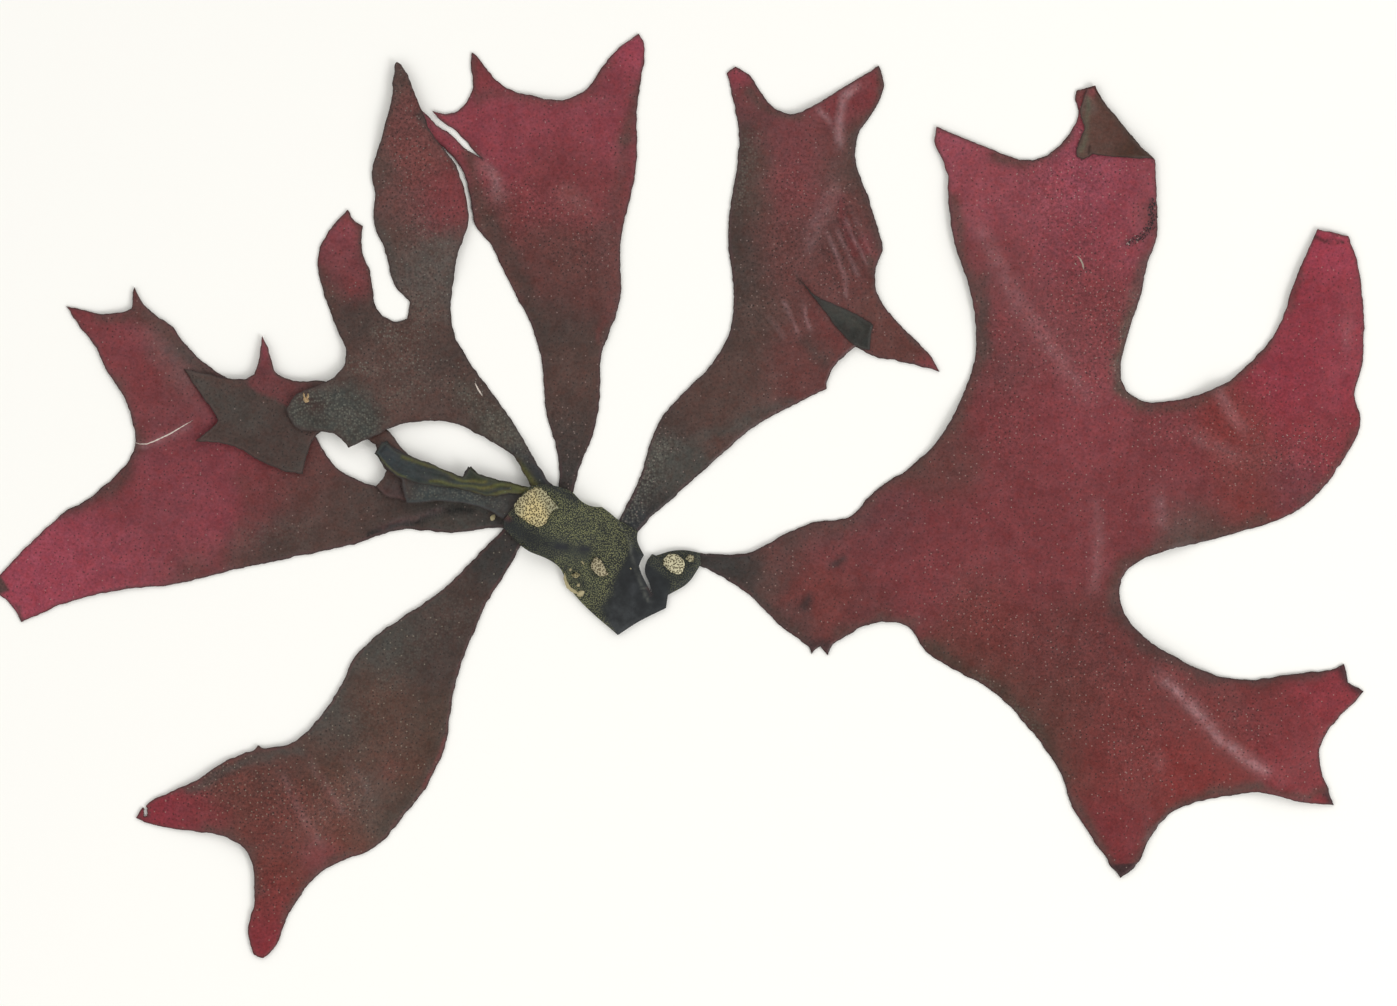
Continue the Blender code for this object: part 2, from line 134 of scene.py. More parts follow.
# The floor.
# A plain pale ground, almost white and matte, a tenth of a millimetre below the plant so that the
# two don't touch.
FLOOR_DROP = 0.1
FLOOR_SIZE = 3000.0


def hex_colour(text):
    """The linear colour of an sRGB hex value, with full opacity."""
    parts = [int(text[i:i + 2], 16) / 255 for i in (1, 3, 5)]
    return (*(p / 12.92 if p <= 0.04045 else ((p + 0.055) / 1.055) ** 2.4 for p in parts), 1.0)


def new_finish(name, values):
    """A new material, with the values of its shader's sockets."""
    material = bpy.data.materials.new(name)
    material.use_nodes = True
    shader = material.node_tree.nodes["Principled BSDF"]
    for socket, value in values.items():
        shader.inputs[socket].default_value = value
    return material


floor_mesh = bpy.data.meshes.new("floor")
ground = bmesh.new()
bmesh.ops.create_grid(ground, x_segments=1, y_segments=1, size=FLOOR_SIZE * MM)
bmesh.ops.translate(ground, verts=ground.verts, vec=(0, 0, -FLOOR_DROP * MM))
ground.to_mesh(floor_mesh)
ground.free()
floor_mesh.materials.append(new_finish(
    "matte_pale_ground",
    {"Base Color": hex_colour("#fbfaf6"), "Roughness": 0.9, "Specular IOR Level": 0.1},
))
put_in_scene("floor", floor_mesh)


# The holdfast blade, the old thick blade in the middle that every frond grew from.
# Tough blue-black tissue, roughened all over by a fine olive grain but for its smooth lower right
# corner, with a split down its right side. It is taken from the frame's blade, made fine and given
# its grain as relief, and stands on the surface.
MERGE_DISTANCE = 0.005
STAND_HEIGHT = 0.02
FACING_SHARE = 0.25
SHARP_TURN = 44
HOLDFAST_SHARP_TURN = 34
HOLDFAST_REFINE = 4
SHARP_EDGE = 50


def sheet_places(coords):
    """Where points lie on the pressing sheet, x and y in millimetres."""
    return coords[:, 0] / MM + SHEET_MIDDLE[0], SHEET_MIDDLE[1] - coords[:, 1] / MM


def open_surface(node, facing):
    """The faces of a frame blade that face up (1) or down (-1), merged, as a bmesh that faces up."""
    surface = bmesh.new()
    surface.from_mesh(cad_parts[node].data)
    bmesh.ops.remove_doubles(surface, verts=surface.verts, dist=MERGE_DISTANCE * MM)
    surface.normal_update()
    others = [face for face in surface.faces if face.normal.z * facing < FACING_SHARE]
    bmesh.ops.delete(surface, geom=others, context="FACES")
    if facing < 0:
        bmesh.ops.reverse_faces(surface, faces=surface.faces)
    return surface


def refine(surface, name, levels, sharp_turn=SHARP_TURN):
    """Give the open surface a smooth margin, sharp only at its corners, and a fine net of faces."""
    crease = surface.verts.layers.float.new("crease_vert")
    for vert in surface.verts:
        rim = [edge.other_vert(vert) for edge in vert.link_edges if edge.is_boundary]
        if len(rim) == 2:
            turn = (vert.co - rim[0].co).xy.angle_signed((rim[1].co - vert.co).xy, 0.0)
            if abs(turn) > math.radians(sharp_turn):
                vert[crease] = 1.0
    coarse = bpy.data.meshes.new(name)
    surface.to_mesh(coarse)
    surface.free()
    piece = put_in_scene(name, coarse)
    smooth = piece.modifiers.new("smooth", "SUBSURF")
    smooth.levels = smooth.render_levels = levels
    evaluated = piece.evaluated_get(bpy.context.evaluated_depsgraph_get())
    fine = bpy.data.meshes.new_from_object(evaluated)
    piece.modifiers.clear()
    piece.data = fine
    bpy.data.meshes.remove(coarse)
    fine.name = name
    return piece


def read_places(piece):
    coords = np.empty(len(piece.data.vertices) * 3)
    piece.data.vertices.foreach_get("co", coords)
    return coords.reshape(-1, 3)


def write_places(piece, coords):
    piece.data.vertices.foreach_set("co", coords.ravel())
    piece.data.update()


def margin_distance(piece, coords):
    """How far each point is from the margin, in millimetres."""
    shared = np.zeros(len(piece.data.edges), int)
    edge_of_loop = np.empty(len(piece.data.loops), int)
    piece.data.loops.foreach_get("edge_index", edge_of_loop)
    np.add.at(shared, edge_of_loop, 1)
    ends = np.empty(len(piece.data.edges) * 2, int)
    piece.data.edges.foreach_get("vertices", ends)
    rim = np.unique(ends.reshape(-1, 2)[shared == 1])
    tree = kdtree.KDTree(len(rim))
    for index in rim:
        tree.insert((coords[index, 0], coords[index, 1], 0), int(index))
    tree.balance()
    return np.array([tree.find((x, y, 0))[2] for x, y, _ in coords]) / MM


def wander(coords, scale, seed):
    """Smooth random numbers between -1 and 1 over the sheet, with features of a size in mm."""
    step = 1 / (scale * MM)
    return np.array([noise.noise((x * step, y * step, seed)) for x, y, _ in coords])


def from_line(sx, sy, line):
    """How far each point is from a line of points on the sheet, in millimetres."""
    best = np.full(len(sx), 1e9)
    for (ax, ay), (bx, by) in zip(line, line[1:]):
        dx, dy = bx - ax, by - ay
        t = np.clip(((sx - ax) * dx + (sy - ay) * dy) / (dx * dx + dy * dy), 0, 1)
        best = np.minimum(best, np.hypot(sx - ax - t * dx, sy - ay - t * dy))
    return best


def near_line(sx, sy, line, width):
    """1 on a line, falling smoothly to 0 at about twice a width in mm from it."""
    return np.exp(-((from_line(sx, sy, line) / width) ** 2))


def within(sx, sy, outline, softness):
    """1 within a closed outline and 0 outside it, with an edge of a softness in mm."""
    inside = np.zeros(len(sx), bool)
    for (ax, ay), (bx, by) in zip(outline, outline[1:]):
        if ay != by:
            crosses = (ay > sy) != (by > sy)
            inside ^= crosses & (sx < ax + (bx - ax) * (sy - ay) / (by - ay))
    depth = from_line(sx, sy, outline)
    return np.clip(np.where(inside, depth, -depth) / softness + 0.5, 0, 1)


def paint(sx, sy, patches, marks=()):
    """Blend soft patches (x, y, reach, colour), then lay marks over them.

    A mark is a line, its half width, its colour and its strength. A line that ends where it
    starts is filled, and its width is then the softness of its edge.
    """
    total = np.zeros((len(sx), 4))
    weight = np.zeros(len(sx))
    for x, y, reach, colour in patches:
        away = (sx - x) ** 2 + (sy - y) ** 2
        share = np.exp(-away / (reach * reach)) + 1e-6 / (1 + away)
        total += share[:, None] * np.array(hex_colour(colour))
        weight += share
    colours = total / weight[:, None]
    for line, width, colour, strength in marks:
        shape = within if line[0] == line[-1] else near_line
        cover = strength * shape(sx, sy, line, width)[:, None]
        colours = colours * (1 - cover) + np.array(hex_colour(colour)) * cover
    return colours


def store(piece, name, values):
    """Keep a number or a colour for each point of a piece, for its material to read."""
    kind, field = ("FLOAT_COLOR", "color") if values.ndim == 2 else ("FLOAT", "value")
    attribute = piece.data.attributes.new(name, kind, "POINT")
    attribute.data.foreach_set(field, np.ascontiguousarray(values, float).ravel())


def thicken(piece, thickness=None):
    """Close the open sheet below its upper face, by a thickness in mm or down to the surface."""
    solid = bmesh.new()
    solid.from_mesh(piece.data)
    top = set(solid.verts)
    bmesh.ops.extrude_face_region(solid, geom=list(solid.faces) + list(solid.edges))
    for vert in solid.verts:
        if vert not in top:
            vert.co.z = vert.co.z - thickness * MM if thickness else STAND_HEIGHT * MM
    bmesh.ops.recalc_face_normals(solid, faces=solid.faces)
    if solid.calc_volume(signed=True) < 0:
        bmesh.ops.reverse_faces(solid, faces=solid.faces)
    solid.to_mesh(piece.data)
    solid.free()
    piece.data.shade_smooth()
    piece.data.set_sharp_from_angle(angle=math.radians(SHARP_EDGE))


def finish_piece(piece, material, slot, *nodes):
    """Give a piece its finish, hang it on the root body, and hide the frame parts it takes the place of.
    """
    piece.data.materials.clear()
    piece.data.materials.append(material)
    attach(piece, "root")
    if nodes:
        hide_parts(*nodes)


# Rough old tissue: matte, with an olive-yellow grain finer than half a millimetre. The grain is
# raised, and it is denser in some clouds of a few millimetres than in others.
GRAIN_SPACING = 0.30
GRAIN_HEIGHT = 0.12
CLOUD_SIZE = 2.2
TISSUE_IOR = 1.42


def grained_tissue(name, speck, dark):
    material = new_finish(name, {"IOR": TISSUE_IOR, "Roughness": 0.6})
    tree = material.node_tree
    place = add(tree, "ShaderNodeTexCoord", out="Object")
    tint = add(tree, "ShaderNodeAttribute", attribute_name="tint")
    grainy = add(tree, "ShaderNodeAttribute", attribute_name="grainy", out="Fac")
    cloud = add(
        tree, "ShaderNodeTexNoise", {"Scale": 1 / (CLOUD_SIZE * MM), "Detail": 3.0, "Roughness": 0.6},
        {"Vector": place},
    )
    grains = add(
        tree, "ShaderNodeTexVoronoi", {"Scale": 1 / (GRAIN_SPACING * MM)}, {"Vector": place},
        voronoi_dimensions="2D",
    )
    crown = add(tree, RANGE, {1: 0.14, 2: 0.48, 3: 1.0, 4: 0.0}, {0: grains})
    share = add(tree, "ShaderNodeSeparateColor", links={0: grains.node.outputs["Color"]})
    density = add(tree, MATHS, {1: 1.5}, {0: cloud, 2: share}, operation="MULTIPLY_ADD")
    bright = add(tree, RANGE, {1: 0.60, 2: 1.35, 3: 0.15, 4: 1.0}, {0: density})
    part = add(tree, MATHS, links={0: crown, 1: bright}, operation="MULTIPLY")
    part = add(tree, MATHS, links={0: part, 1: grainy}, operation="MULTIPLY")
    darker = add(tree, RANGE, {1: 0.35, 2: 0.6, 3: 0.75, 4: 0.1}, {0: cloud})
    colour = tint
    for over, amount in ((dark, darker), (speck, part)):
        colour = add(
            tree, MIX, {7: hex_colour(over)}, {0: amount, 6: colour}, out=2, data_type="RGBA"
        )
    bump = add(
        tree, "ShaderNodeBump", {"Strength": 0.7, "Distance": GRAIN_HEIGHT * MM}, {"Height": part}
    )
    shader = tree.nodes["Principled BSDF"]
    tree.links.new(colour, shader.inputs["Base Color"])
    tree.links.new(bump, shader.inputs["Normal"])
    return material


SMOOTH_CORNER = [
    (124.8, 111.8), (122.6, 116), (122.2, 118.8), (120.6, 120.4), (119.8, 122), (123.8, 128),
    (134, 122), (134, 116), (129, 112), (126.6, 108.4), (124.8, 111.8),
]
RIGHT_STUB = [(127, 107), (141, 107), (141, 124), (129, 123), (127, 107)]
ROOT_RIDGE = [
    (123.6, 104), (124.8, 106.4), (126, 108.4), (126.2, 110.6), (126.8, 112.8), (128, 116),
    (129.6, 120.2),
]
LEFT_HOLLOW = [(111.6, 109.2), (113, 109.4)]
RIGHT_HOLLOW = [(116.4, 109.8), (117.6, 109.8)]
UPPER_MARGIN = [(108.4, 96.2), (112, 98), (115, 99.8)]
holdfast_blade = refine(
    open_surface("base_blade", 1), "holdfast_blade", HOLDFAST_REFINE, HOLDFAST_SHARP_TURN
)
coords = read_places(holdfast_blade)
away = margin_distance(holdfast_blade, coords)
sx, sy = sheet_places(coords)
grainy = 1 - within(sx, sy, SMOOTH_CORNER, 1.2)
grainy *= 1 - 0.7 * within(sx, sy, RIGHT_STUB, 1.5)
for bare_line, bare_width, bareness in (
    ([(101, 104.4), (106, 107), (111, 109), (117, 111)], 2.0, 0.85),
    ([(101.6, 104), (104.6, 107.6), (109, 111.4)], 1.7, 0.7),
    (LEFT_HOLLOW, 0.8, 1), (RIGHT_HOLLOW, 0.8, 1), (UPPER_MARGIN, 1.1, 0.8),
    ([(113, 113), (117, 117.4)], 1.0, 0.5),
    ([(125.4, 104), (128, 111)], 1.6, 0.5), ([(103.4, 101), (105, 97.6)], 1.2, 0.5),
):
    grainy *= 1 - bareness * near_line(sx, sy, bare_line, bare_width)
grainy *= 0.9 + 0.5 * wander(coords, 1.6, 12.0)
relief = 0.16 * grainy * (0.5 + wander(coords, 0.55, 3.0))
relief += 0.10 * wander(coords, 2.4, 7.0)
relief += 0.28 * near_line(sx, sy, ROOT_RIDGE, 0.5)
relief -= 0.3 * np.exp(-((away / 0.5) ** 2))
coords[:, 2] += relief * MM
write_places(holdfast_blade, coords)
store(holdfast_blade, "grainy", grainy)
store(holdfast_blade, "tint", paint(sx, sy, [
    (114, 106, 8, "#262b22"), (105, 107, 4, "#181c20"), (111, 109, 2, "#191d21"),
    (122, 100, 5, "#242920"), (127, 116.6, 5, "#1e2124"), (124, 122.6, 3, "#313436"),
    (118, 118, 4, "#252a22"), (134, 115, 5, "#1f2426"), (128, 108, 3, "#1b1f22"),
], [
    (ROOT_RIDGE, 0.28, "#63655e", 0.55), (LEFT_HOLLOW, 0.7, "#0c0f19", 0.9),
    (RIGHT_HOLLOW, 0.7, "#0c0f19", 0.9), (UPPER_MARGIN, 0.9, "#181c21", 0.8),
    ([(99.2, 99.8), (102.2, 101.2)], 0.7, "#5a2c30", 0.7),
    ([(99.4, 102.6), (102, 103.8)], 0.5, "#5a2628", 0.7),
    ([(129.8, 117.6), (130.2, 119)], 0.3, "#553836", 0.5),
    ([(123.4, 116.6), (123, 121), (122.6, 125.4)], 0.5, "#3c3f42", 0.6),
    ([(126.8, 117), (126.4, 123)], 0.6, "#383b3e", 0.6),
    ([(130.6, 120), (129.6, 122.4)], 0.4, "#3a3d3e", 0.5),
    ([(119.6, 121.8), (120.8, 118.6), (122.6, 116.2), (124.4, 113)], 0.4, "#0d0f11", 0.7),
    ([(125, 117.6), (124.8, 121.6)], 0.35, "#141618", 0.6),
    ([(124.6, 106.4), (125.2, 110), (125, 113)], 0.6, "#101315", 0.7),
]))
thicken(holdfast_blade)
finish_piece(
    holdfast_blade, grained_tissue("rough_olive_grained_tissue", "#8c8d61", "#0b0e11"),
    "holdfast_blade", "base_blade",
)

# The left frond, at the bottom of the stack.
# One leathery sheet of cells that dried flat with a thin hard rim. Its left tip and its upper arm
# are clear pink, and it browns towards the root, where it lies folded.
DRY_THICKNESS = 0.42
BLADE_TOP = 0.46
STRIP_THICKNESS = 0.12
STRIP_STEP = 0.25
STRIP_SUPPORT = 0.6
REFINE = 3

PINK = "#8c3f4e"
ROSE = "#7e3a44"
DEEP_ROSE = "#80323e"
CRIMSON = "#6e3438"
BRICK = "#6f2d2c"
RUSSET = "#5b3735"
BROWN = "#4d3b36"
UMBER = "#423733"
SLATE = "#43423e"
SOOT = "#353331"
BLUE_BLACK = "#2b2e31"
# The rim's colour: the margin's own dark line, with painted shade of the blade's edge in it.
RIM_AND_EDGE_SHADE = "#2a1d1b"

# Dry red-algal tissue, air-dried under light pressure: a leathery, slightly glossy skin with fine
# pits about a millimetre apart, uneven pigment, a thin near-black rim and, where the skin has
# worn, a pale dust of dead cells. The pits are painted darker as painted shade, the rim line is
# partly painted shade of the blade's edge, and where the skin is rough the pale specks crowd into
# painted glints. Pits and specks are drawn a little larger than life to show.
PIT_SPACING = 0.95
SPECK_SPACING = 1.15
DUST_SPACING = 0.5
BLOTCH_SIZE = 3.5
FINE_GRAIN_SIZE = 0.55
FLUSH_SIZE = 1.5
SKIN_RELIEF = 0.07


def dry_tissue(
    name, speck="#a58f88", speck_and_glint_share=0.07, pitted=0.6, gloss=0.40, dust="#7c7c70", edge="#4e3134"
):
    material = new_finish(name, {"IOR": TISSUE_IOR, "Specular IOR Level": 0.42})
    tree = material.node_tree
    place = add(tree, "ShaderNodeTexCoord", out="Object")
    tint = add(tree, "ShaderNodeAttribute", attribute_name="tint")
    margin, dusty, rough = (
        add(tree, "ShaderNodeAttribute", attribute_name=stored, out="Fac")
        for stored in ("margin", "dusty", "rough")
    )
    blotch, grain, flush = (
        add(
            tree, "ShaderNodeTexNoise", {"Scale": 1 / (size * MM), "Detail": detail, "Roughness": fine},
            {"Vector": place},
        )
        for size, detail, fine in (
            (BLOTCH_SIZE, 4.0, 0.6), (FINE_GRAIN_SIZE, 3.0, 0.7), (FLUSH_SIZE, 5.0, 0.7)
        )
    )
    pits, specks, grains = (
        add(
            tree, "ShaderNodeTexVoronoi", {"Scale": 1 / (size * MM)}, {"Vector": place},
            voronoi_dimensions="2D",
        )
        for size in (PIT_SPACING, SPECK_SPACING, DUST_SPACING)
    )
    pit_chance, speck_chance, grain_chance = (
        add(tree, "ShaderNodeSeparateColor", links={0: cells.node.outputs["Color"]})
        for cells in (pits, specks, grains)
    )

    # The pits are deepest in the dark blotches and where the skin is rough. Besides denting the bump,
    # they darken the colour, as painted shade in the dents.
    in_blotch = add(tree, RANGE, {1: 0.35, 2: 0.6, 3: 0.5, 4: 1.8}, {0: blotch})
    in_rough = add(tree, RANGE, {1: 0.0, 2: 1.0, 3: 0.85, 4: 1.15}, {0: rough})
    pit = add(tree, RANGE, {1: 0.05, 2: 0.25, 3: pitted, 4: 0.0}, {0: pits})
    for factor in (pit_chance, in_blotch, in_rough):
        pit = add(tree, MATHS, links={0: pit, 1: factor}, operation="MULTIPLY")

    # The pigment is uneven, in blotches and in fine grain, and redder in clouds of its own.
    coarse = add(tree, RANGE, {1: 0.0, 2: 1.0, 3: 0.45, 4: 0.95}, {0: rough})
    fine = add(tree, RANGE, {1: 0.32, 2: 0.68, 3: -0.5, 4: 0.55}, {0: grain})
    shade = add(tree, MATHS, {2: 1.0}, {0: coarse, 1: fine}, operation="MULTIPLY_ADD")
    even = add(tree, RANGE, {1: 0.3, 2: 0.7, 3: 0.88, 4: 1.12}, {0: blotch})
    # In the pits the colour is darkened: painted shade.
    unpitted = add(tree, MATHS, {0: 1.03}, {1: pit}, operation="SUBTRACT")
    for factor in (even, unpitted):
        shade = add(tree, MATHS, links={0: shade, 1: factor}, operation="MULTIPLY")
    mottled = add(tree, "ShaderNodeVectorMath", links={0: tint, "Scale": shade}, operation="SCALE")
    flushed = add(tree, RANGE, {1: 0.40, 2: 0.72, 3: 0.0, 4: 0.9}, {0: flush})
    colour = add(
        tree, MIX, {7: (1.12, 0.80, 0.74, 1.0)}, {0: flushed, 6: mottled}, out=2,
        data_type="RGBA", blend_type="MULTIPLY",
    )

    # Pale specks in some cells, crowding into painted glints where the skin is rough, dust where it
    # is worn, a darker band near the rim, and the dark rim itself, which is partly painted shade of
    # the blade's edge.
    # Where the skin is rough, many more cells get a pale dot: painted glints of light on the rough skin.
    above = add(tree, RANGE, {1: 0.0, 2: 1.0, 3: 1 - speck_and_glint_share, 4: 1 - 6 * speck_and_glint_share}, {0: rough})
    chosen = add(tree, MATHS, links={0: speck_chance, 1: above}, operation="GREATER_THAN")
    speck_and_glint = add(tree, RANGE, {1: 0.05, 2: 0.15, 3: 0.5, 4: 0.0}, {0: specks})
    speck_and_glint = add(tree, MATHS, links={0: speck_and_glint, 1: chosen}, operation="MULTIPLY")
    worn = add(tree, MATHS, links={0: grain_chance, 1: blotch}, operation="ADD")
    worn = add(tree, RANGE, {1: 0.6, 2: 1.4, 3: 0.0, 4: 1.0}, {0: worn})
    dusting = add(tree, RANGE, {1: 0.10, 2: 0.60, 3: 1.0, 4: 0.0}, {0: grains})
    for factor in (worn, dusty):
        dusting = add(tree, MATHS, links={0: dusting, 1: factor}, operation="MULTIPLY")
    near_rim = add(tree, RANGE, {1: 0.75, 2: 0.45, 3: 0.0, 4: 0.45}, {0: margin})
    patchy = add(tree, RANGE, {1: 0.4, 2: 0.6, 3: 0.3, 4: 1.0}, {0: blotch})
    near_rim = add(tree, MATHS, links={0: near_rim, 1: patchy}, operation="MULTIPLY")
    # The dark rim line at the margin: partly the margin's own colour, partly painted shade of the edge.
    rim = add(tree, RANGE, {1: 0.08, 2: 0.34, 3: 0.7, 4: 0.0}, {0: margin})
    for part, over in ((speck_and_glint, speck), (dusting, dust), (near_rim, edge), (rim, RIM_AND_EDGE_SHADE)):
        colour = add(tree, MIX, {7: hex_colour(over)}, {0: part, 6: colour}, out=2, data_type="RGBA")

    relief = add(tree, RANGE, {1: 0.0, 2: 1.0, 3: 1.0, 4: 3.6}, {0: rough})
    relief = add(tree, MATHS, links={0: relief, 1: grain, 2: dusting}, operation="MULTIPLY_ADD")
    relief = add(tree, MATHS, {1: -1.6}, {0: pit, 2: relief}, operation="MULTIPLY_ADD")
    bump = add(tree, "ShaderNodeBump", {"Strength": 0.5, "Distance": SKIN_RELIEF * MM}, {"Height": relief})
    sheen = add(tree, RANGE, {1: 0.3, 2: 0.7, 3: gloss - 0.05, 4: gloss + 0.08}, {0: blotch})
    shader = tree.nodes["Principled BSDF"]
    tree.links.new(colour, shader.inputs["Base Color"])
    tree.links.new(sheen, shader.inputs["Roughness"])
    tree.links.new(bump, shader.inputs["Normal"])
    return material


# A crease's crest is painted paler, a painted highlight of the light on the ridge, and with a
# negative amount the crease is painted darker than the blade about it, as painted shade.
PAINTED_CREST_HIGHLIGHT = "#a5858a"


def dress_sheet(piece, lift, patches, marks=(), creases=(), dust=(), rough=(), pulls=(), seed=0):
    """Give an open sheet its relief and colours, and thicken it to a dry blade.

    A crease is a line, its half width, its height, and how strongly light is painted on it: paler
    as a painted highlight when positive, darker as painted shade when negative. Dust and roughness
    are a line, its half width and how much there is. A pull moves the blade at a place by some
    millimetres within a reach, so that a root clears its neighbours.
    """
    coords = read_places(piece)
    away = margin_distance(piece, coords)
    sx, sy = sheet_places(coords)
    for x, y, dx, dy, reach in pulls:
        near = np.exp(-((sx - x) ** 2 + (sy - y) ** 2) / (reach * reach))
        coords[:, 0] += dx * near * MM
        coords[:, 1] -= dy * near * MM
    ragged = np.exp(-away / 0.6) * MM
    for axis, shift in ((0, 3), (1, 5)):
        coords[:, axis] += ragged * (
            0.20 * wander(coords, 2.2, seed + shift) + 0.12 * wander(coords, 0.8, seed + shift + 0.5)
        )
    drift = 1.2 * wander(coords, 5.0, seed + 20), 1.2 * wander(coords, 5.0, seed + 40)
    colours = paint(sx + drift[0], sy + drift[1], patches, marks)
    height = np.full(len(sx), lift)
    for line, width, crest, painted_light_amount in creases:
        share = near_line(sx + drift[0] / 3, sy + drift[1] / 3, line, width)
        for x, y in (line[0], line[-1]):
            share *= 1 - 0.9 * np.exp(-((np.hypot(sx - x, sy - y) / (2.2 * width)) ** 2))
        height += crest * share
        # Painted light on the crease: a paler crest as a painted highlight, and with a negative amount a
        # darker crease as painted shade.
        cover = (abs(painted_light_amount) * share * (0.8 + 0.5 * wander(coords, 2.0, seed + 60)))[:, None]
        colours = colours * (1 - cover) + cover * np.array(hex_colour(PAINTED_CREST_HIGHLIGHT if painted_light_amount > 0 else SOOT))
    calm = np.clip(away / 3.0, 0, 1)
    height += calm * 0.10 * wander(coords, 9.0, seed) + 0.04 * wander(coords, 1.8, seed + 9)
    height -= 0.16 * np.exp(-((away / 0.35) ** 2))
    coords[:, 2] += np.maximum(height, lift - 0.15) * MM
    write_places(piece, coords)
    store(piece, "tint", colours)
    store(piece, "margin", away)
    for name, areas in (("dusty", dust), ("rough", rough)):
        amounts = np.zeros(len(sx))
        for line, width, amount in areas:
            near = amount * near_line(sx + drift[0], sy + drift[1], line, width)
            amounts = np.maximum(amounts, near)
        store(piece, name, amounts)
    thicken(piece, DRY_THICKNESS)


def tear(piece, outline):
    """Cut a small convex outline out of an open sheet."""
    sheet = bmesh.new()
    sheet.from_mesh(piece.data)
    corners = outline[:-1]
    middle = on_sheet(*(sum(place[axis] for place in corners) / len(corners) for axis in (0, 1)))
    for (ax, ay), (bx, by) in zip(outline, outline[1:]):
        near = [face for face in sheet.faces if (face.calc_center_median() - middle).xy.length < 3 * MM]
        edges = {edge for face in near for edge in face.edges}
        verts = {vert for face in near for vert in face.verts}
        start, end = on_sheet(ax, ay), on_sheet(bx, by)
        bmesh.ops.bisect_plane(
            sheet, geom=near + list(edges) + list(verts), dist=1e-7, plane_co=start,
            plane_no=(end.y - start.y, start.x - end.x, 0),
        )
    centres = np.array([tuple(face.calc_center_median()) for face in sheet.faces])
    inside = within(*sheet_places(centres), outline, 1.0) > 0.5
    gone = [face for face, cut in zip(list(sheet.faces), inside) if cut]
    bmesh.ops.delete(sheet, geom=gone, context="FACES")
    sheet.to_mesh(piece.data)
    sheet.free()


def grow_blade(side, finish, patches, tears=(), finer=0, **looks):
    """A fine dry blade in the place of a frame blade, with its finish."""
    piece = refine(open_surface("frond_" + side, -1), "blade_" + side, REFINE + finer)
    for outline in tears:
        tear(piece, outline)
    dress_sheet(piece, BLADE_TOP, patches, **looks)
    finish_piece(piece, finish, side + "_frond", "frond_" + side)
    return piece


def rest_on(*pieces):
    """A function that gives the height of the topmost of some pieces at a place on the sheet."""
    trees = []
    for piece in pieces:
        body = bmesh.new()
        body.from_mesh(piece.data)
        trees.append(bvhtree.BVHTree.FromBMesh(body))
        body.free()

    def height(x, y, missing=None):
        hits = [tree.ray_cast(on_sheet(x, y, 50.0), (0, 0, -1))[0] for tree in trees]
        return max((hit.z / MM for hit in hits if hit), default=missing)

    return height


def lay_strips(name, finish, slot, below, strips, seed):
    """Thin strips on what is below them. Each is a line, its width and its height in the middle.

    A strip that would lie mostly beside what is below is left out.
    """
    mesh = bpy.data.meshes.new(name)
    body = bmesh.new()
    for line, width, rise in strips:
        steps = []
        for (ax, ay), (bx, by) in zip(line, line[1:]):
            count = max(2, round(math.hypot(bx - ax, by - ay) / STRIP_STEP))
            steps += [(ax + (bx - ax) * k / count, ay + (by - ay) * k / count) for k in range(count)]
        steps.append(line[-1])
        levels = [below(x, y) for x, y in steps]
        found = [level for level in levels if level is not None]
        if len(found) < STRIP_SUPPORT * len(steps):
            continue
        last = len(steps) - 1
        for vert in bmesh.ops.create_grid(body, x_segments=last, y_segments=2, size=1.0)["verts"]:
            k, side = round((vert.co.x + 1) / 2 * last), round(vert.co.y)
            (x, y), (ax, ay), (bx, by) = steps[k], steps[max(k - 1, 0)], steps[min(k + 1, last)]
            run = math.hypot(bx - ax, by - ay)
            jitter = 1 + 0.7 * noise.noise((x * 1.7, y * 1.7, seed))
            half = 0.5 * width * jitter * math.sin(math.pi * (k + 0.35) / (last + 0.7)) ** 0.6
            out = half * side / run
            level = (found[0] if levels[k] is None else levels[k]) + (0.03 if side else rise)
            vert.co = on_sheet(x + (ay - by) * out, y + (bx - ax) * out, level)
    bmesh.ops.recalc_face_normals(body, faces=body.faces)
    bmesh.ops.reverse_faces(body, faces=[face for face in body.faces if face.normal.z < 0])
    body.to_mesh(mesh)
    body.free()
    piece = put_in_scene(name, mesh)
    thicken(piece, STRIP_THICKNESS)
    finish_piece(piece, finish, slot)


def dull_skin(name, colour):
    """Bare or crumbled dry skin and limy bits: one dull colour on pieces under a millimetre wide."""
    return new_finish(name, {"Base Color": hex_colour(colour), "Roughness": 0.7})


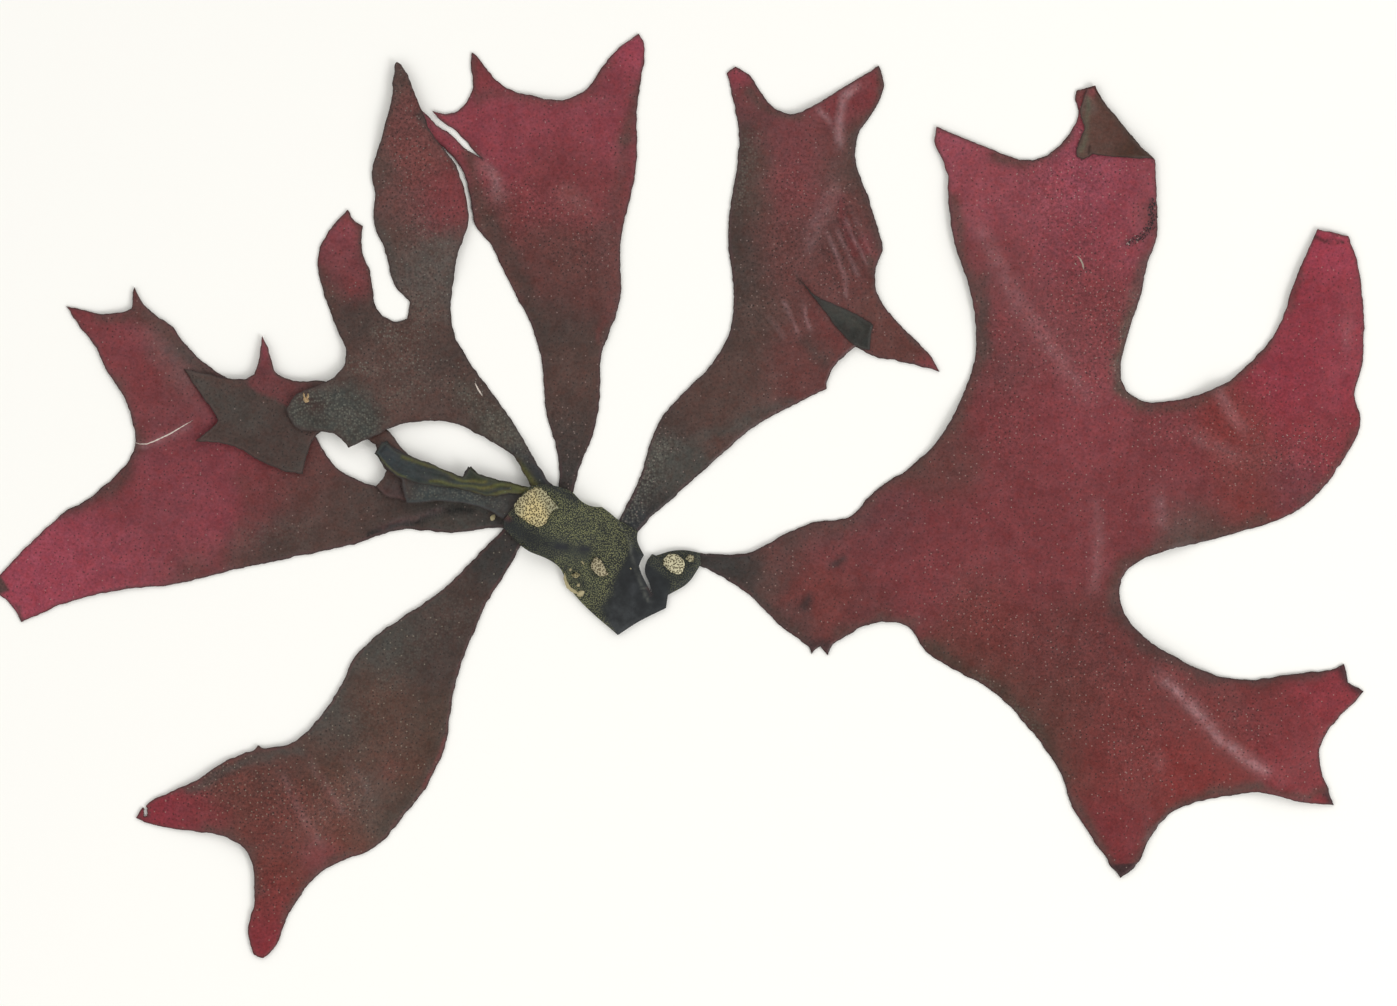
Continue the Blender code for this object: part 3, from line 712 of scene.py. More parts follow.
left_frond = grow_blade("left", dry_tissue("dry_thallus_pink_to_brown"), [
    (8, 116, 8, PINK), (20, 110, 9, "#843d49"), (32, 108, 8, "#763941"), (36, 98, 8, "#763941"),
    (44, 104, 6, ROSE), (44, 94, 5, "#73373f"), (24, 69, 4, "#74393f"), (29, 76, 5, CRIMSON),
    (37, 80, 4, "#64373a"), (34, 84, 5, "#69363a"), (22, 66, 5, CRIMSON), (16, 62.5, 2, CRIMSON),
    (27, 62, 3, RUSSET), (34, 70, 4, RUSSET), (36, 76, 3, RUSSET), (38, 88, 5, "#6f363c"),
    (52, 91.5, 5, CRIMSON), (52, 99, 5, CRIMSON), (58, 98, 6, RUSSET), (24, 100, 5, CRIMSON),
    (56, 106, 6, UMBER), (48, 110, 4, BROWN), (38, 114, 4, RUSSET), (66, 102, 8, BROWN),
    (74, 98, 7, UMBER), (80, 104, 8, UMBER), (86, 103.4, 5, "#2f2c28"), (92, 103, 8, SLATE),
    (98, 104, 4, SOOT), (66, 92, 5, RUSSET), (72, 92, 4, UMBER),
], marks=[
    ([(13, 101.5), (20, 98.5), (25, 94), (27, 90)], 2.0, UMBER, 0.75),
    ([(23, 76), (25, 84), (27, 88)], 1.6, BROWN, 0.7),
    ([(20, 63.5), (24, 64), (27, 61)], 1.1, BROWN, 0.6),
    ([(29, 62.5), (34, 66.5), (39, 72.5), (46, 77)], 1.4, BROWN, 0.7),
    ([(36, 70), (40, 74), (47, 77.5), (52, 79.5)], 2.2, UMBER, 0.7),
    ([(48, 96), (50, 102), (48, 107)], 2.0, RUSSET, 0.5),
    ([(0, 115), (1.8, 116.6), (2, 117.6), (0, 119.2), (-3, 118), (-3, 116),
     (0, 115)], 0.5, "#453a36", 0.9), ([(4, 124), (3, 121.5)], 0.5, UMBER, 0.6),
    # A near-black line along the fold near the root: painted shade in the crease.
    ([(74.3, 106.8), (79, 105.2), (84.4, 103.4), (89.6, 102.2), (94.4, 102)], 0.7, "#0d0c0b", 0.95),
], creases=[
    ([(26, 64), (34, 72), (40, 80)], 2.2, 0.7, 0.15),
    ([(26.8, 88.4), (28.8, 88.9), (31, 88.3), (34, 86.9), (37, 85.2), (39, 84)], 0.7, 0.3, 0.2),
    ([(74.3, 106.4), (79, 104.6), (84.4, 102.8), (89.6, 101.5)], 0.6, 0.35, 0.12),
], dust=[([(50, 108), (60, 106)], 3.0, 0.15), ([(84, 101), (96, 102)], 3.0, 0.1)], pulls=[
    (100.4, 104.6, 1.6, 0.0, 3.0),
], seed=1)
bare_skin = dull_skin("bare_pale_torn_skin", "#c9bcb2")
lay_strips("torn_line_left", bare_skin, "left_frond", rest_on(left_frond), [
    ([(26.7, 88.4), (28, 88.8), (29.4, 88.8), (31, 88.2), (34, 86.8), (37, 85), (38.6, 84.1)], 0.25, 0.07),
], 11)

# The horned frond, on the left one.
# A thin leathery blade, pressed flat on the one below, with its root under the crust. It is pink
# where it lies alone, at its upright horn, and brown where two blades lie together.
DOUBLED = [
    (34, 71), (40, 75.6), (44, 77.2), (49.6, 77.4), (53, 79), (57.6, 81), (62, 84), (70, 84), (78, 92),
    (70, 98), (60, 98), (38, 90), (42, 86), (34, 71),
]
brown_tissue = dry_tissue("dry_thallus_brown", speck_and_glint_share=0.03, edge="#4c3b36")
horned_frond = grow_blade("horned", brown_tissue, [
    (52, 74, 4, "#613639"), (52.5, 68, 3, ROSE), (57, 79, 4, "#5d3536"), (66, 79, 5, BROWN),
    (46, 76, 3, BROWN),
], marks=[
    (DOUBLED, 0.7, UMBER, 1.0), ([(40, 74), (45, 76.4), (49, 76.6)], 1.0, UMBER, 0.8),
    ([(38, 76), (44, 80), (50, 84)], 3.0, SLATE, 0.5),
    ([(58, 94), (60.5, 93), (61.6, 90)], 1.6, SLATE, 0.5), ([(64, 88), (68, 88)], 1.6, RUSSET, 0.5),
    ([(80, 97), (90, 99), (98, 100)], 4.0, SOOT, 0.8), ([(99.6, 98.8), (102, 101)], 0.8, "#5a2c30", 0.7),
], pulls=[(102.0, 101.6, 1.2, 0.9, 3.0)], seed=2)

# The green frond, folded double along its upper edge.
# An old narrow blade, tougher than the others and stained by green growth. Its outer layer is dark
# blue-green with olive streaks, and the grey-blue layer under it shows below the fold.
green_tissue = dry_tissue("dry_thallus_green_black", "#6f7466", 0.12, 0.15, edge="#33383a")
green_frond = grow_blade("green", green_tissue, [
    (80, 97, 3, UMBER), (78, 94, 3, UMBER), (86, 99, 5, "#343a3a"), (94, 99.5, 5, "#343a3a"),
    (101, 101, 4, SOOT), (78, 90, 4, BLUE_BLACK),
], dust=[([(84, 98), (98, 100)], 2.0, 0.35)], pulls=[(103.2, 100.5, 1.2, 0.9, 3.0)], seed=3)
FLAP_RISE = 0.5


def grow_flap(name, finish, slot, outline, below, patches, **looks):
    """The upper layer where a blade lies double, from its outline, a little above what is below."""
    sheet = bmesh.new()
    face = sheet.faces.new([sheet.verts.new(on_sheet(x, y)) for x, y in outline])
    face.normal_update()
    if face.normal.z < 0:
        face.normal_flip()
    bmesh.ops.triangulate(sheet, faces=[face])
    piece = refine(sheet, name, REFINE + 1)
    coords = read_places(piece)
    heights = np.array([below(x, y, np.nan) for x, y in zip(*sheet_places(coords))])
    heights[np.isnan(heights)] = np.nanmedian(heights)
    coords[:, 2] = (heights + FLAP_RISE) * MM
    write_places(piece, coords)
    dress_sheet(piece, 0.0, patches, **looks)
    finish_piece(piece, finish, slot)


OLIVE = "#515226"
GREEN_FOLD = [
    (75, 90.6), (75.6, 89.6), (76.6, 88.4), (77.4, 88.2), (78.2, 89.4), (80.6, 90.8), (83, 91.7),
    (86, 92.7), (89, 94), (91.4, 95.1), (92.6, 95.4), (93.3, 94.8), (93.6, 93.6), (94.2, 93.2),
    (95.4, 94.6), (97, 95.4), (101, 96.2), (104, 97), (106.6, 97.6), (107, 98.6), (105, 99), (102, 98.7),
    (100, 99.1), (97.6, 99.4), (96, 98.9), (94, 98.3), (91, 97.6), (89, 97.4), (86, 97.2), (83.6, 96.6),
    (81.6, 96.1), (80, 95.5), (78, 94.1), (76.6, 92.8),
]
streaked_tissue = dry_tissue("dry_thallus_olive_streaked", "#6f7466", 0.1, 0.1, edge="#3c4030")
grow_flap(
    "blade_green_fold", streaked_tissue, "green_frond",
    GREEN_FOLD, rest_on(left_frond, horned_frond, green_frond), [
        (78, 91, 2.4, "#2d3437"), (84, 94, 3.4, "#2b3233"), (91, 96.6, 3.4, "#2e342e"),
        (98, 97.6, 3.4, "#323626"), (105, 98, 2.4, "#434623"),
    ],
    marks=[
        ([(75.2, 91), (77, 93), (79.6, 95), (81, 95.8)], 0.25, OLIVE, 0.8),
        ([(81.2, 91.3), (86, 93), (90, 94.8), (93, 96), (98, 96.4)], 0.4, OLIVE, 0.85),
        ([(86, 96.6), (91, 96.9), (96, 97.4), (101, 97.4), (105, 97.8)], 0.32, "#535526", 0.75),
        ([(95, 98.6), (98, 99), (101, 98.6), (104, 98.7)], 0.3, "#545626", 0.8),
        ([(94, 98), (98, 98.3), (102, 98)], 0.2, "#262c2b", 0.8),
        ([(83, 94.4), (88, 95.6), (94, 96.7), (99, 96.8)], 0.25, "#2b3433", 0.6),
        ([(76.6, 88.8), (76, 90)], 0.3, "#1d2022", 0.8),
    ],
    creases=[
        ([(76, 90.6), (84, 94.4), (94, 96.8), (105, 98)], 0.7, 0.25, 0.0),
        ([(79, 94.4), (86, 96.2), (96, 98.2)], 0.3, -0.12, 0.0),
    ],
    seed=13,
)

# The upper left frond, with its spindle, finger and grey lobe.
# One leathery blade cut into three lobes. The grey granular lobe lies on the two fronds below, and
# the spindle and the finger redden at their middles. A shell flake and a scratch are on its face.
GREY_LOBE = [
    (70, 76), (64, 77.4), (59, 79), (56, 82), (58, 86), (68, 88), (70, 91), (76, 88), (77, 84), (74, 80),
    (70, 76),
]
lobed_tissue = dry_tissue("dry_thallus_grey_lobed", "#8c8c82", 0.07, edge="#3a2d2b")
upper_left_frond = grow_blade("upper_left", lobed_tissue, [
    (80, 15, 4, BROWN), (82, 22, 4, "#613a38"), (84, 32, 5, "#643a38"), (88, 40, 5, CRIMSON),
    (82, 42, 5, "#593c39"), (76, 34, 3, BROWN), (78, 48, 4, BROWN), (86, 43, 3, "#653639"),
    (87, 51, 5, "#4f4642"), (68.8, 43, 1.4, "#6b3a3a"), (86, 57, 6, "#4e4541"), (67, 47, 4, "#783d44"),
    (67, 53, 4, "#69393d"), (70, 57, 3, CRIMSON), (73, 46, 2, RUSSET), (66, 58, 3, BROWN),
    (72, 63, 5, UMBER), (82, 66, 6, BROWN), (78, 74, 7, BROWN), (88, 72, 5, UMBER), (90, 78, 5, BROWN),
    (95, 80, 4, UMBER), (100, 86, 4, "#443f39"), (104, 90, 3, "#3c3a36"), (107, 94, 4, BLUE_BLACK),
], marks=[
    (GREY_LOBE, 4.0, "#373b38", 0.9), ([(62, 81.4), (63.6, 82)], 1.5, "#3d2f2c", 0.8),
    ([(92, 78), (98, 84), (103, 89)], 2.6, "#47423b", 0.5),
    ([(84, 23), (88, 28), (91, 33)], 1.0, SOOT, 0.7), ([(79.5, 13), (79, 20), (76, 28)], 1.0, BROWN, 0.6),
    ([(75, 44), (77.4, 50), (78.6, 55)], 1.2, SLATE, 0.6),
    ([(90.6, 55), (90.6, 62), (93, 68), (98, 76)], 1.2, SLATE, 0.5),
    ([(64.4, 54), (66.6, 62), (69.4, 69)], 1.0, BROWN, 0.6),
    ([(103, 91), (106.4, 95), (109, 98)], 1.5, "#24282b", 0.8),
    ([(103.6, 92.6), (105.8, 96), (108, 98.6)], 1.1, OLIVE, 0.85),
], dust=[
    ([(60, 81), (68, 81), (73, 86)], 5.0, 0.48), ([(94, 80), (103, 88)], 2.6, 0.4),
    ([(86, 48), (84, 62), (80, 72)], 5.0, 0.25), ([(75.6, 66.4), (79, 67)], 1.6, 0.55),
    ([(70.6, 73.4), (74.6, 74)], 1.4, 0.5), ([(79, 72.6), (82.4, 72)], 1.2, 0.45),
    ([(78, 79.6), (84, 77)], 2.4, 0.3),
], rough=[
    ([(80, 16), (82, 30), (84, 44)], 7.0, 1.0), ([(84, 56), (78, 72), (90, 78)], 8.0, 0.7),
    ([(94, 80), (104, 90)], 3.0, 0.9),
], pulls=[(109.0, 96.6, 0.2, 1.6, 2.6)], seed=4)
on_upper_left = rest_on(upper_left_frond)
lay_strips("scratch_upper_left", bare_skin, "upper_left_frond", on_upper_left, [
    ([(95, 76.6), (95.6, 77.8), (96.5, 79.2)], 0.3, 0.08),
], 12)
shell_flake = dull_skin("tan_limy_shell", "#b59a74")
lay_strips("shell_on_lobe", shell_flake, "moss_animal_crust", on_upper_left, [
    ([(60.8, 78.6), (60.9, 79.3), (61.2, 80)], 0.4, 0.25),
    ([(61.7, 78.7), (61.7, 79.3), (61.3, 80)], 0.4, 0.25),
    ([(60.9, 79.5), (61.3, 80.2), (61.9, 80.1)], 0.8, 0.4),
], 13)

# The upper middle frond.
# A tall thin blade that grew from the back of the holdfast and lies flat on the surface. It is
# pink at its two horns and dark brown from half way down to the root, with a torn upper left side.
grow_blade("upper_middle", dry_tissue("dry_thallus_rose_to_brown"), [
    (126, 10, 4, PINK), (124, 16, 5, "#783841"), (118, 24, 6, ROSE), (108, 25, 6, ROSE),
    (99, 24, 6, ROSE), (96, 15, 3, CRIMSON), (120.6, 20, 2.4, "#6f3b42"), (112, 32, 6, CRIMSON),
    (100, 32, 5, ROSE), (106, 38, 6, CRIMSON), (116, 40, 5, CRIMSON), (94, 31, 2, CRIMSON),
    (90, 28, 2, ROSE), (99, 42, 4, RUSSET), (110, 49, 5, "#5a3533"), (113, 54, 5, "#523632"),
    (118, 57, 3, "#543633"), (119, 50, 4, RUSSET), (106, 54, 4, RUSSET), (114, 58, 5, RUSSET),
    (112, 64, 5, UMBER), (114, 76, 6, BROWN), (114, 86, 6, UMBER), (113, 93, 4, SOOT),
], marks=[
    ([(125, 28), (124.6, 36), (122, 44), (120.4, 52)], 2.0, "#5c3c3b", 0.6),
    ([(130, 13), (127, 20), (125, 28)], 1.4, BROWN, 0.7),
    ([(95.4, 20), (100, 18.6), (108, 20), (113, 20.6), (118, 18), (122, 12)], 1.3, BROWN, 0.4),
    ([(94, 31), (95, 38), (97, 45), (100, 51), (104, 58)], 1.5, BROWN, 0.7),
    ([(98, 44), (103, 52), (107, 62), (109, 74)], 1.6, UMBER, 0.7),
    ([(122.6, 50), (122.8, 58), (120, 68)], 0.8, RUSSET, 0.8),
    ([(94.6, 11), (94.8, 16), (95.2, 19)], 0.6, BROWN, 0.5),
    # A pale mauve line on the crest of the crease below: a painted highlight.
    ([(96.4, 33), (98.4, 35.6), (99.6, 39)], 1.2, "#7d6263", 0.45),
    ([(114, 39), (116, 41)], 2.6, "#7d5a58", 0.35),
], creases=[([(96.6, 32.5), (99.5, 36), (100, 40)], 1.2, 0.45, 0.2)], rough=[
    ([(100, 40), (112, 44), (118, 50)], 6.0, 0.7), ([(112, 84), (114, 92)], 4.0, 0.7),
], pulls=[(113.3, 97.4, -0.5, 1.6, 3.0)], seed=5)

# The upper right frond, with a pleat above its lower tip.
# A thin leathery blade that slipped under the press and dried in a pleat, with a fan of wrinkles
# round it. It is crimson above and brown along its left margin, and its pleat is nearly black.
upper_right_frond = grow_blade("upper_right", dry_tissue("dry_thallus_crimson_wrinkled"), [
    (147.8, 14.6, 2.6, ROSE), (149, 19, 3, "#63383a"), (150, 24, 4, "#5c3839"), (150, 32, 4, BROWN),
    (158, 29, 5, "#6a3a3d"), (166, 28, 4, "#613838"), (173, 16, 4, "#6e3539"), (167, 22, 3, CRIMSON),
    (172, 30, 4, BROWN), (171, 42, 5, RUSSET), (161, 38, 6, "#6a393b"), (168, 36, 4, BROWN),
    (163, 47, 5, "#543634"), (173.4, 48.4, 1.6, CRIMSON), (156, 50, 5, RUSSET), (150, 40, 4, BROWN),
    (149, 52, 5, UMBER), (158, 57, 4, RUSSET), (168, 54, 4, "#573331"), (152, 62, 5, BROWN),
    (160, 66, 4, RUSSET), (164, 69, 3, RUSSET), (150, 76, 5, BROWN), (158, 76, 5, RUSSET),
    (140, 80, 5, BROWN), (134, 84, 3, UMBER), (146, 84, 4, BROWN), (134, 92, 4, SLATE),
    (128, 98, 4, SOOT), (126, 103, 3, BLUE_BLACK), (178, 67, 4, "#5c3a36"), (182.6, 70.2, 4, "#583733"),
    (186.2, 73.2, 2, "#7a3b40"), (173, 62, 3, "#593935"), (169, 60, 3, RUSSET),
], marks=[
    ([(148.4, 26), (147.4, 36), (147, 48), (148, 60), (145.6, 69)], 2.2, UMBER, 0.8),
    ([(150, 18.5), (154, 22), (160, 23.4)], 0.9, BROWN, 0.7),
    ([(171, 27), (172, 34), (174.4, 41), (176, 49)], 1.6, UMBER, 0.8),
    ([(174.6, 52), (174.8, 57), (178, 62), (184, 69)], 0.8, BROWN, 0.7),
    ([(140, 87.6), (148, 85), (158, 80)], 1.2, SLATE, 0.6), ([(161, 68), (165, 72)], 1.6, UMBER, 0.6),
    ([(175.6, 13), (176.8, 16.4), (175.8, 20), (173.4, 24)], 1.0, BROWN, 0.8),
    ([(167.4, 40), (169, 45), (170.8, 51)], 1.3, "#5e2b2e", 0.7),
    ([(162.6, 63), (165, 66), (167.6, 69)], 1.2, "#60302f", 0.7),
    ([(146.4, 12.6), (149, 13.6), (151, 17.6)], 0.4, "#3b2728", 0.7),
], creases=[
    ([(172.6, 16.4), (170.2, 17.6), (168.8, 19.6), (168.1, 22.6), (167.7, 26),
     (167.5, 30)], 0.8, 0.55, 0.5), ([(162.8, 21), (164.4, 22.8), (166.8, 25.4)], 0.55, 0.4, 0.42),
    ([(168, 34), (165.4, 40), (162.6, 46), (160.4, 53)], 1.6, 0.4, 0.17),
    ([(165.4, 46), (167.2, 51.4), (169, 55.4), (169.2, 60)], 0.36, 0.4, 0.25),
    ([(167.2, 45.6), (169.2, 50.4), (171.8, 55.6)], 0.34, 0.4, 0.24),
    ([(168.8, 43.2), (170.8, 47.8), (173.6, 53)], 0.34, 0.5, 0.28),
    ([(170.6, 43), (172.4, 46.8), (174.2, 50.4)], 0.34, 0.5, 0.14),
    ([(156.4, 59.6), (157.8, 62.6), (159.6, 67)], 0.36, 0.4, 0.28),
    ([(160.8, 60.4), (161, 63.4), (162.2, 66.6)], 0.38, 0.4, 0.32),
    ([(153.6, 62.4), (155.4, 65.6), (157, 68.4)], 0.4, 0.3, 0.1),
    ([(166.4, 42), (168.4, 47), (170.6, 54)], 0.5, -0.2, -0.2),
    ([(171, 46), (172.6, 52)], 0.35, -0.2, -0.3), ([(158.6, 54.2), (160.6, 57.4)], 0.4, -0.1, -0.6),
], dust=[([(132, 90), (126, 102)], 3.0, 0.6), ([(150, 28), (148, 40)], 2.6, 0.3)], rough=[
    ([(158, 36), (156, 52), (150, 62)], 6.0, 0.7), ([(168, 40), (167, 54)], 5.0, 0.7),
    ([(134, 88), (127, 101)], 4.0, 0.8),
], pulls=[(125.8, 105.2, -0.7, 1.5, 3.0)], finer=1, seed=6)
PLEAT = [
    (159.4, 55.6), (162.4, 58.6), (164.4, 60), (166.4, 60.8), (168, 61.4), (170, 62.2), (171.8, 63),
    (173.4, 64.2), (174.6, 65.2), (174.2, 67.2), (174, 70), (172.4, 69.8), (171.4, 69.4), (170, 68.4),
    (168.2, 66.6), (166.4, 64.4), (164.8, 62.2), (163.2, 60), (161.6, 58.2),
]
pleat_tissue = dry_tissue("dry_thallus_pleat", speck_and_glint_share=0.0, pitted=0.05, edge="#3a3631")
grow_flap(
    "blade_upper_right_pleat", pleat_tissue, "upper_right_frond",
    PLEAT, rest_on(upper_right_frond), [
        (164, 61, 3, "#2c2b28"), (171, 66, 4, "#282926"), (160, 56, 2, "#261e1c"),
    ],
    marks=[([(166, 62), (172, 65)], 1.4, "#3b3d38", 0.6)],
    seed=16,
)

# The right frond, the largest.
# One leathery crimson blade forked into three broad arms, grown from the holdfast's right stub. It
# dried under the press with rounded ridges and its uppermost tip turned over. Crumbs of its own
# scorched and flaked skin lie on it.
crimson_tissue = dry_tissue("dry_thallus_crimson", "#b09a90", 0.09, edge="#48292b")
right_frond = grow_blade("right", crimson_tissue, [
    (190, 29, 4, "#874450"), (215.6, 18.6, 1.6, "#683a39"), (215.6, 22, 1.6, ROSE),
    (196, 36, 6, "#824049"), (206, 42, 6, "#7f3f48"), (218, 36, 6, "#84404d"), (228, 38, 4, ROSE),
    (214, 50, 6, "#783841"), (224, 48, 5, ROSE), (202, 52, 5, CRIMSON), (216, 58, 6, CRIMSON),
    (204, 66, 5, CRIMSON), (212, 70, 6, CRIMSON), (200, 74, 5, "#623638"), (202, 86, 8, CRIMSON),
    (216, 84, 8, "#76383e"), (190, 92, 6, RUSSET), (204, 98, 6, CRIMSON), (232, 86, 6, CRIMSON),
    (246, 84, 6, BRICK), (256, 76, 6, DEEP_ROSE), (264, 64, 6, DEEP_ROSE), (265, 51, 3.4, "#8e3848"),
    (262, 58, 4, DEEP_ROSE), (266, 76, 5, DEEP_ROSE), (263, 88, 6, "#783239"), (258, 96, 4, "#66343a"),
    (250, 96, 6, "#6c3332"), (236, 98, 6, CRIMSON), (238, 104, 4, BROWN), (222, 100, 6, CRIMSON),
    (206, 112, 8, CRIMSON), (192, 108, 7, CRIMSON), (178, 106, 5, "#613538"), (180, 112, 5, CRIMSON),
    (184, 118, 6, CRIMSON), (168, 110, 5, "#683638"), (165, 118, 5, "#683533"), (174, 121, 5, "#613435"),
    (156, 112, 4, "#573836"), (151, 114, 4, "#503c38"), (146, 113, 3, SOOT), (160, 124, 3, "#523533"),
    (196, 124, 8, "#64312f"), (212, 128, 7, "#5e3130"), (224, 130, 6, "#603131"),
    (214, 140, 6, "#58332f"), (222, 142, 7, "#66302f"), (236, 140, 6, "#692f2f"),
    (248, 138, 6, "#662f2f"), (264, 137, 5, "#7a3038"), (254, 142, 5, "#6c2e31"),
    (262, 150, 6, "#742e33"), (240, 152, 6, BRICK), (224, 156, 6, "#6a2f2e"), (222, 165, 5, "#6c2b2f"),
    (230, 43, 2.4, "#693639"),
], marks=[
    ([(199, 31), (205, 32.6), (209.6, 31.2), (213, 27)], 1.3, BROWN, 0.75),
    ([(190.6, 40), (192.6, 52), (196, 62), (195.8, 72), (191, 84), (184, 92)], 1.6, BROWN, 0.75),
    ([(196.6, 56), (197, 70)], 1.6, UMBER, 0.6),
    ([(230, 52), (227, 60), (223.6, 72), (224.4, 78), (228, 81)], 1.5, "#4d453d", 0.85),
    ([(230, 81.8), (240, 79.8), (248, 75), (254, 68)], 1.2, BROWN, 0.7),
    ([(257.6, 62), (260, 54)], 0.7, BROWN, 0.5),
    ([(262.4, 47.6), (265, 48.4), (268.6, 48.8)], 0.35, "#33201f", 0.8),
    ([(162, 130.6), (162.6, 128.6), (165.4, 128.6), (165.8, 130.6)], 1.4, "#35292a", 0.85),
    ([(268, 132.6), (269, 136), (272.4, 138.2)], 1.1, "#35272a", 0.85),
    ([(265.4, 158.8), (266.8, 160.6)], 1.2, "#35272a", 0.85),
    ([(184, 92), (175, 98), (168, 104), (158, 106)], 1.8, BROWN, 0.7),
    ([(172, 104), (166, 107), (158, 108)], 2.2, SLATE, 0.35),
    ([(271, 86), (266, 95), (260, 100.4)], 0.8, BROWN, 0.5),
    ([(252, 104), (246, 106), (232, 109.6), (224.6, 113), (223, 120)], 1.6, "#4c3b36", 0.75),
    ([(223.6, 122), (229, 129), (240, 134), (256, 135.4), (264, 134)], 1.9, "#473330", 0.85),
    ([(188, 130), (200, 135), (209, 146), (214, 156)], 4.5, "#54352f", 0.6),
    ([(184.6, 128.6), (190, 132.6), (200, 138), (208, 147), (212.6, 156)], 1.7, "#44362f", 0.85),
    ([(213, 158), (218, 166), (223.6, 174)], 1.1, BROWN, 0.75),
    ([(227, 172.6), (229, 168.6), (234, 162), (242, 159), (252, 157.6)], 1.3, BROWN, 0.8),
    ([(230.4, 47), (229.4, 53), (227, 60)], 1.6, "#63373a", 0.6),
    ([(252, 157.6), (262, 159.6), (266, 157)], 0.8, BROWN, 0.6),
    ([(168, 127), (176, 124), (182, 125)], 1.6, BROWN, 0.7),
    ([(150, 118), (156, 124), (161, 128)], 1.1, UMBER, 0.7),
    ([(142, 108), (150, 109.6), (152, 113), (151, 119), (146, 116), (138, 112),
     (142, 108)], 3.0, SOOT, 0.8),
    ([(222.6, 172.4), (227.6, 172.8), (227, 175), (224, 178), (221.6, 174.4),
     (222.6, 172.4)], 0.5, "#332729", 0.9), ([(161.6, 121), (161.8, 120)], 1.3, "#332c2c", 0.9),
    ([(166.6, 112.4), (168, 111.6)], 1.2, "#382e2e", 0.8),
    ([(225.6, 48.4), (228, 47.4), (230, 45.4), (230.4, 43), (230.6, 40.4)], 0.8, "#3b2024", 0.6),
], creases=[
    ([(196, 46), (202, 58), (208, 66), (216, 76)], 4.0, 0.7, 0.04),
    ([(194, 42), (199, 52), (204, 61), (211, 71), (218, 81)], 1.5, 0.4, 0.18),
    ([(230, 133), (237, 139.8), (243, 146.6), (249, 151.6), (255, 155)], 1.6, 0.6, 0.16),
    ([(231.4, 134.6), (237.8, 141), (243.4, 147.2), (249.2, 152.2), (254.4, 155)], 0.9, 0.3, 0.48),
    ([(241.6, 75), (244.4, 80), (247, 84), (250, 87.6)], 1.2, 0.4, 0.26),
    ([(236, 84.6), (241, 88), (250, 92)], 1.6, 0.4, 0.18),
    ([(218, 98), (219, 108), (218, 120)], 1.3, 0.4, 0.1), ([(231, 96), (232.6, 108)], 1.3, 0.4, 0.22),
    ([(231, 148), (231.6, 156)], 1.4, 0.3, 0.16), ([(269, 60), (269, 72)], 1.5, 0.35, 0.15),
], dust=[([(228, 60), (224, 74)], 2.0, 0.4), ([(196, 137), (206, 146)], 2.0, 0.4)], rough=[
    ([(214, 36), (216, 52), (212, 70)], 9.0, 0.7), ([(222, 60), (218, 74)], 6.0, 0.9),
    ([(232, 86), (252, 82)], 6.0, 0.5), ([(216, 130), (228, 150)], 8.0, 0.6),
    ([(200, 66), (202, 88)], 5.0, 0.5), ([(246, 90), (264, 92)], 5.0, 0.7),
    ([(192, 122), (210, 130)], 6.0, 0.5), ([(232, 134), (250, 146)], 4.0, 0.6),
], pulls=[(140.3, 111.7, -1.6, 0.0, 3.0)], seed=7)
TURNED_TIP = [
    (217.4, 17.6), (218.9, 17), (220.4, 20), (222.4, 22.5), (225.4, 26.1), (228.4, 29.7), (230.9, 31.8),
    (226, 31.6), (222, 31.4), (218.5, 30.9), (217.8, 31.6), (216.6, 31.9), (215.4, 31.5), (215, 30.4),
    (215.4, 29.2), (216.1, 28), (216.7, 26.4), (216.8, 25.2), (216.5, 24.2), (216, 23), (215.8, 22.2),
    (216.4, 20.4),
]
turned_tissue = dry_tissue("dry_thallus_turned_tip", speck_and_glint_share=0.0, pitted=0.05, edge="#48362d")
grow_flap(
    "blade_right_turned_tip", turned_tissue, "right_frond",
    TURNED_TIP, rest_on(right_frond), [
        (222, 26, 4, "#533a33"), (226, 30, 3, "#3d2a20"), (217, 18.6, 1.4, "#6d3d40"),
        (217.4, 22, 1.6, "#5b4a44"), (219, 29, 3, "#543f38"),
    ],
    marks=[
        ([(217.4, 20), (217, 24), (217.2, 27), (216.2, 30.6)], 0.7, "#575648", 0.7),
        ([(219.4, 19.6), (224, 25.6), (229, 31)], 0.8, "#38251c", 0.6),
        # A dark line along the foot's right edge of the turned tip: a painted shadow.
        ([(218.2, 29.4), (217.8, 31)], 0.25, "#241a16", 0.8),
    ],
    seed=17,
)
on_right = rest_on(right_frond)
lay_strips("scratch_right", dull_skin("bare_olive_scratch", "#96897c"), "right_frond", on_right, [
    ([(215.4, 51.2), (216, 51.8), (216.5, 52.8), (216.7, 54)], 0.32, 0.08),
    ([(214.9, 52.6), (215.2, 53)], 0.25, 0.08),
], 14)


def crumbs(line, spread, count, size, seed):
    """Short strips scattered about a line, as small as grains."""
    chance = random.Random(seed)
    grains = []
    for _ in range(count):
        (ax, ay), (bx, by) = chance.choice(list(zip(line, line[1:])))
        t, turn = chance.random(), chance.uniform(0, math.pi)
        x = ax + t * (bx - ax) + chance.gauss(0, spread)
        y = ay + t * (by - ay) + chance.gauss(0, spread)
        reach = size * chance.uniform(0.4, 0.9)
        far = (x + reach * math.cos(turn), y + reach * math.sin(turn))
        grains.append(([(x, y), far], size * chance.uniform(0.6, 1.1), 0.3 * size))
    return grains


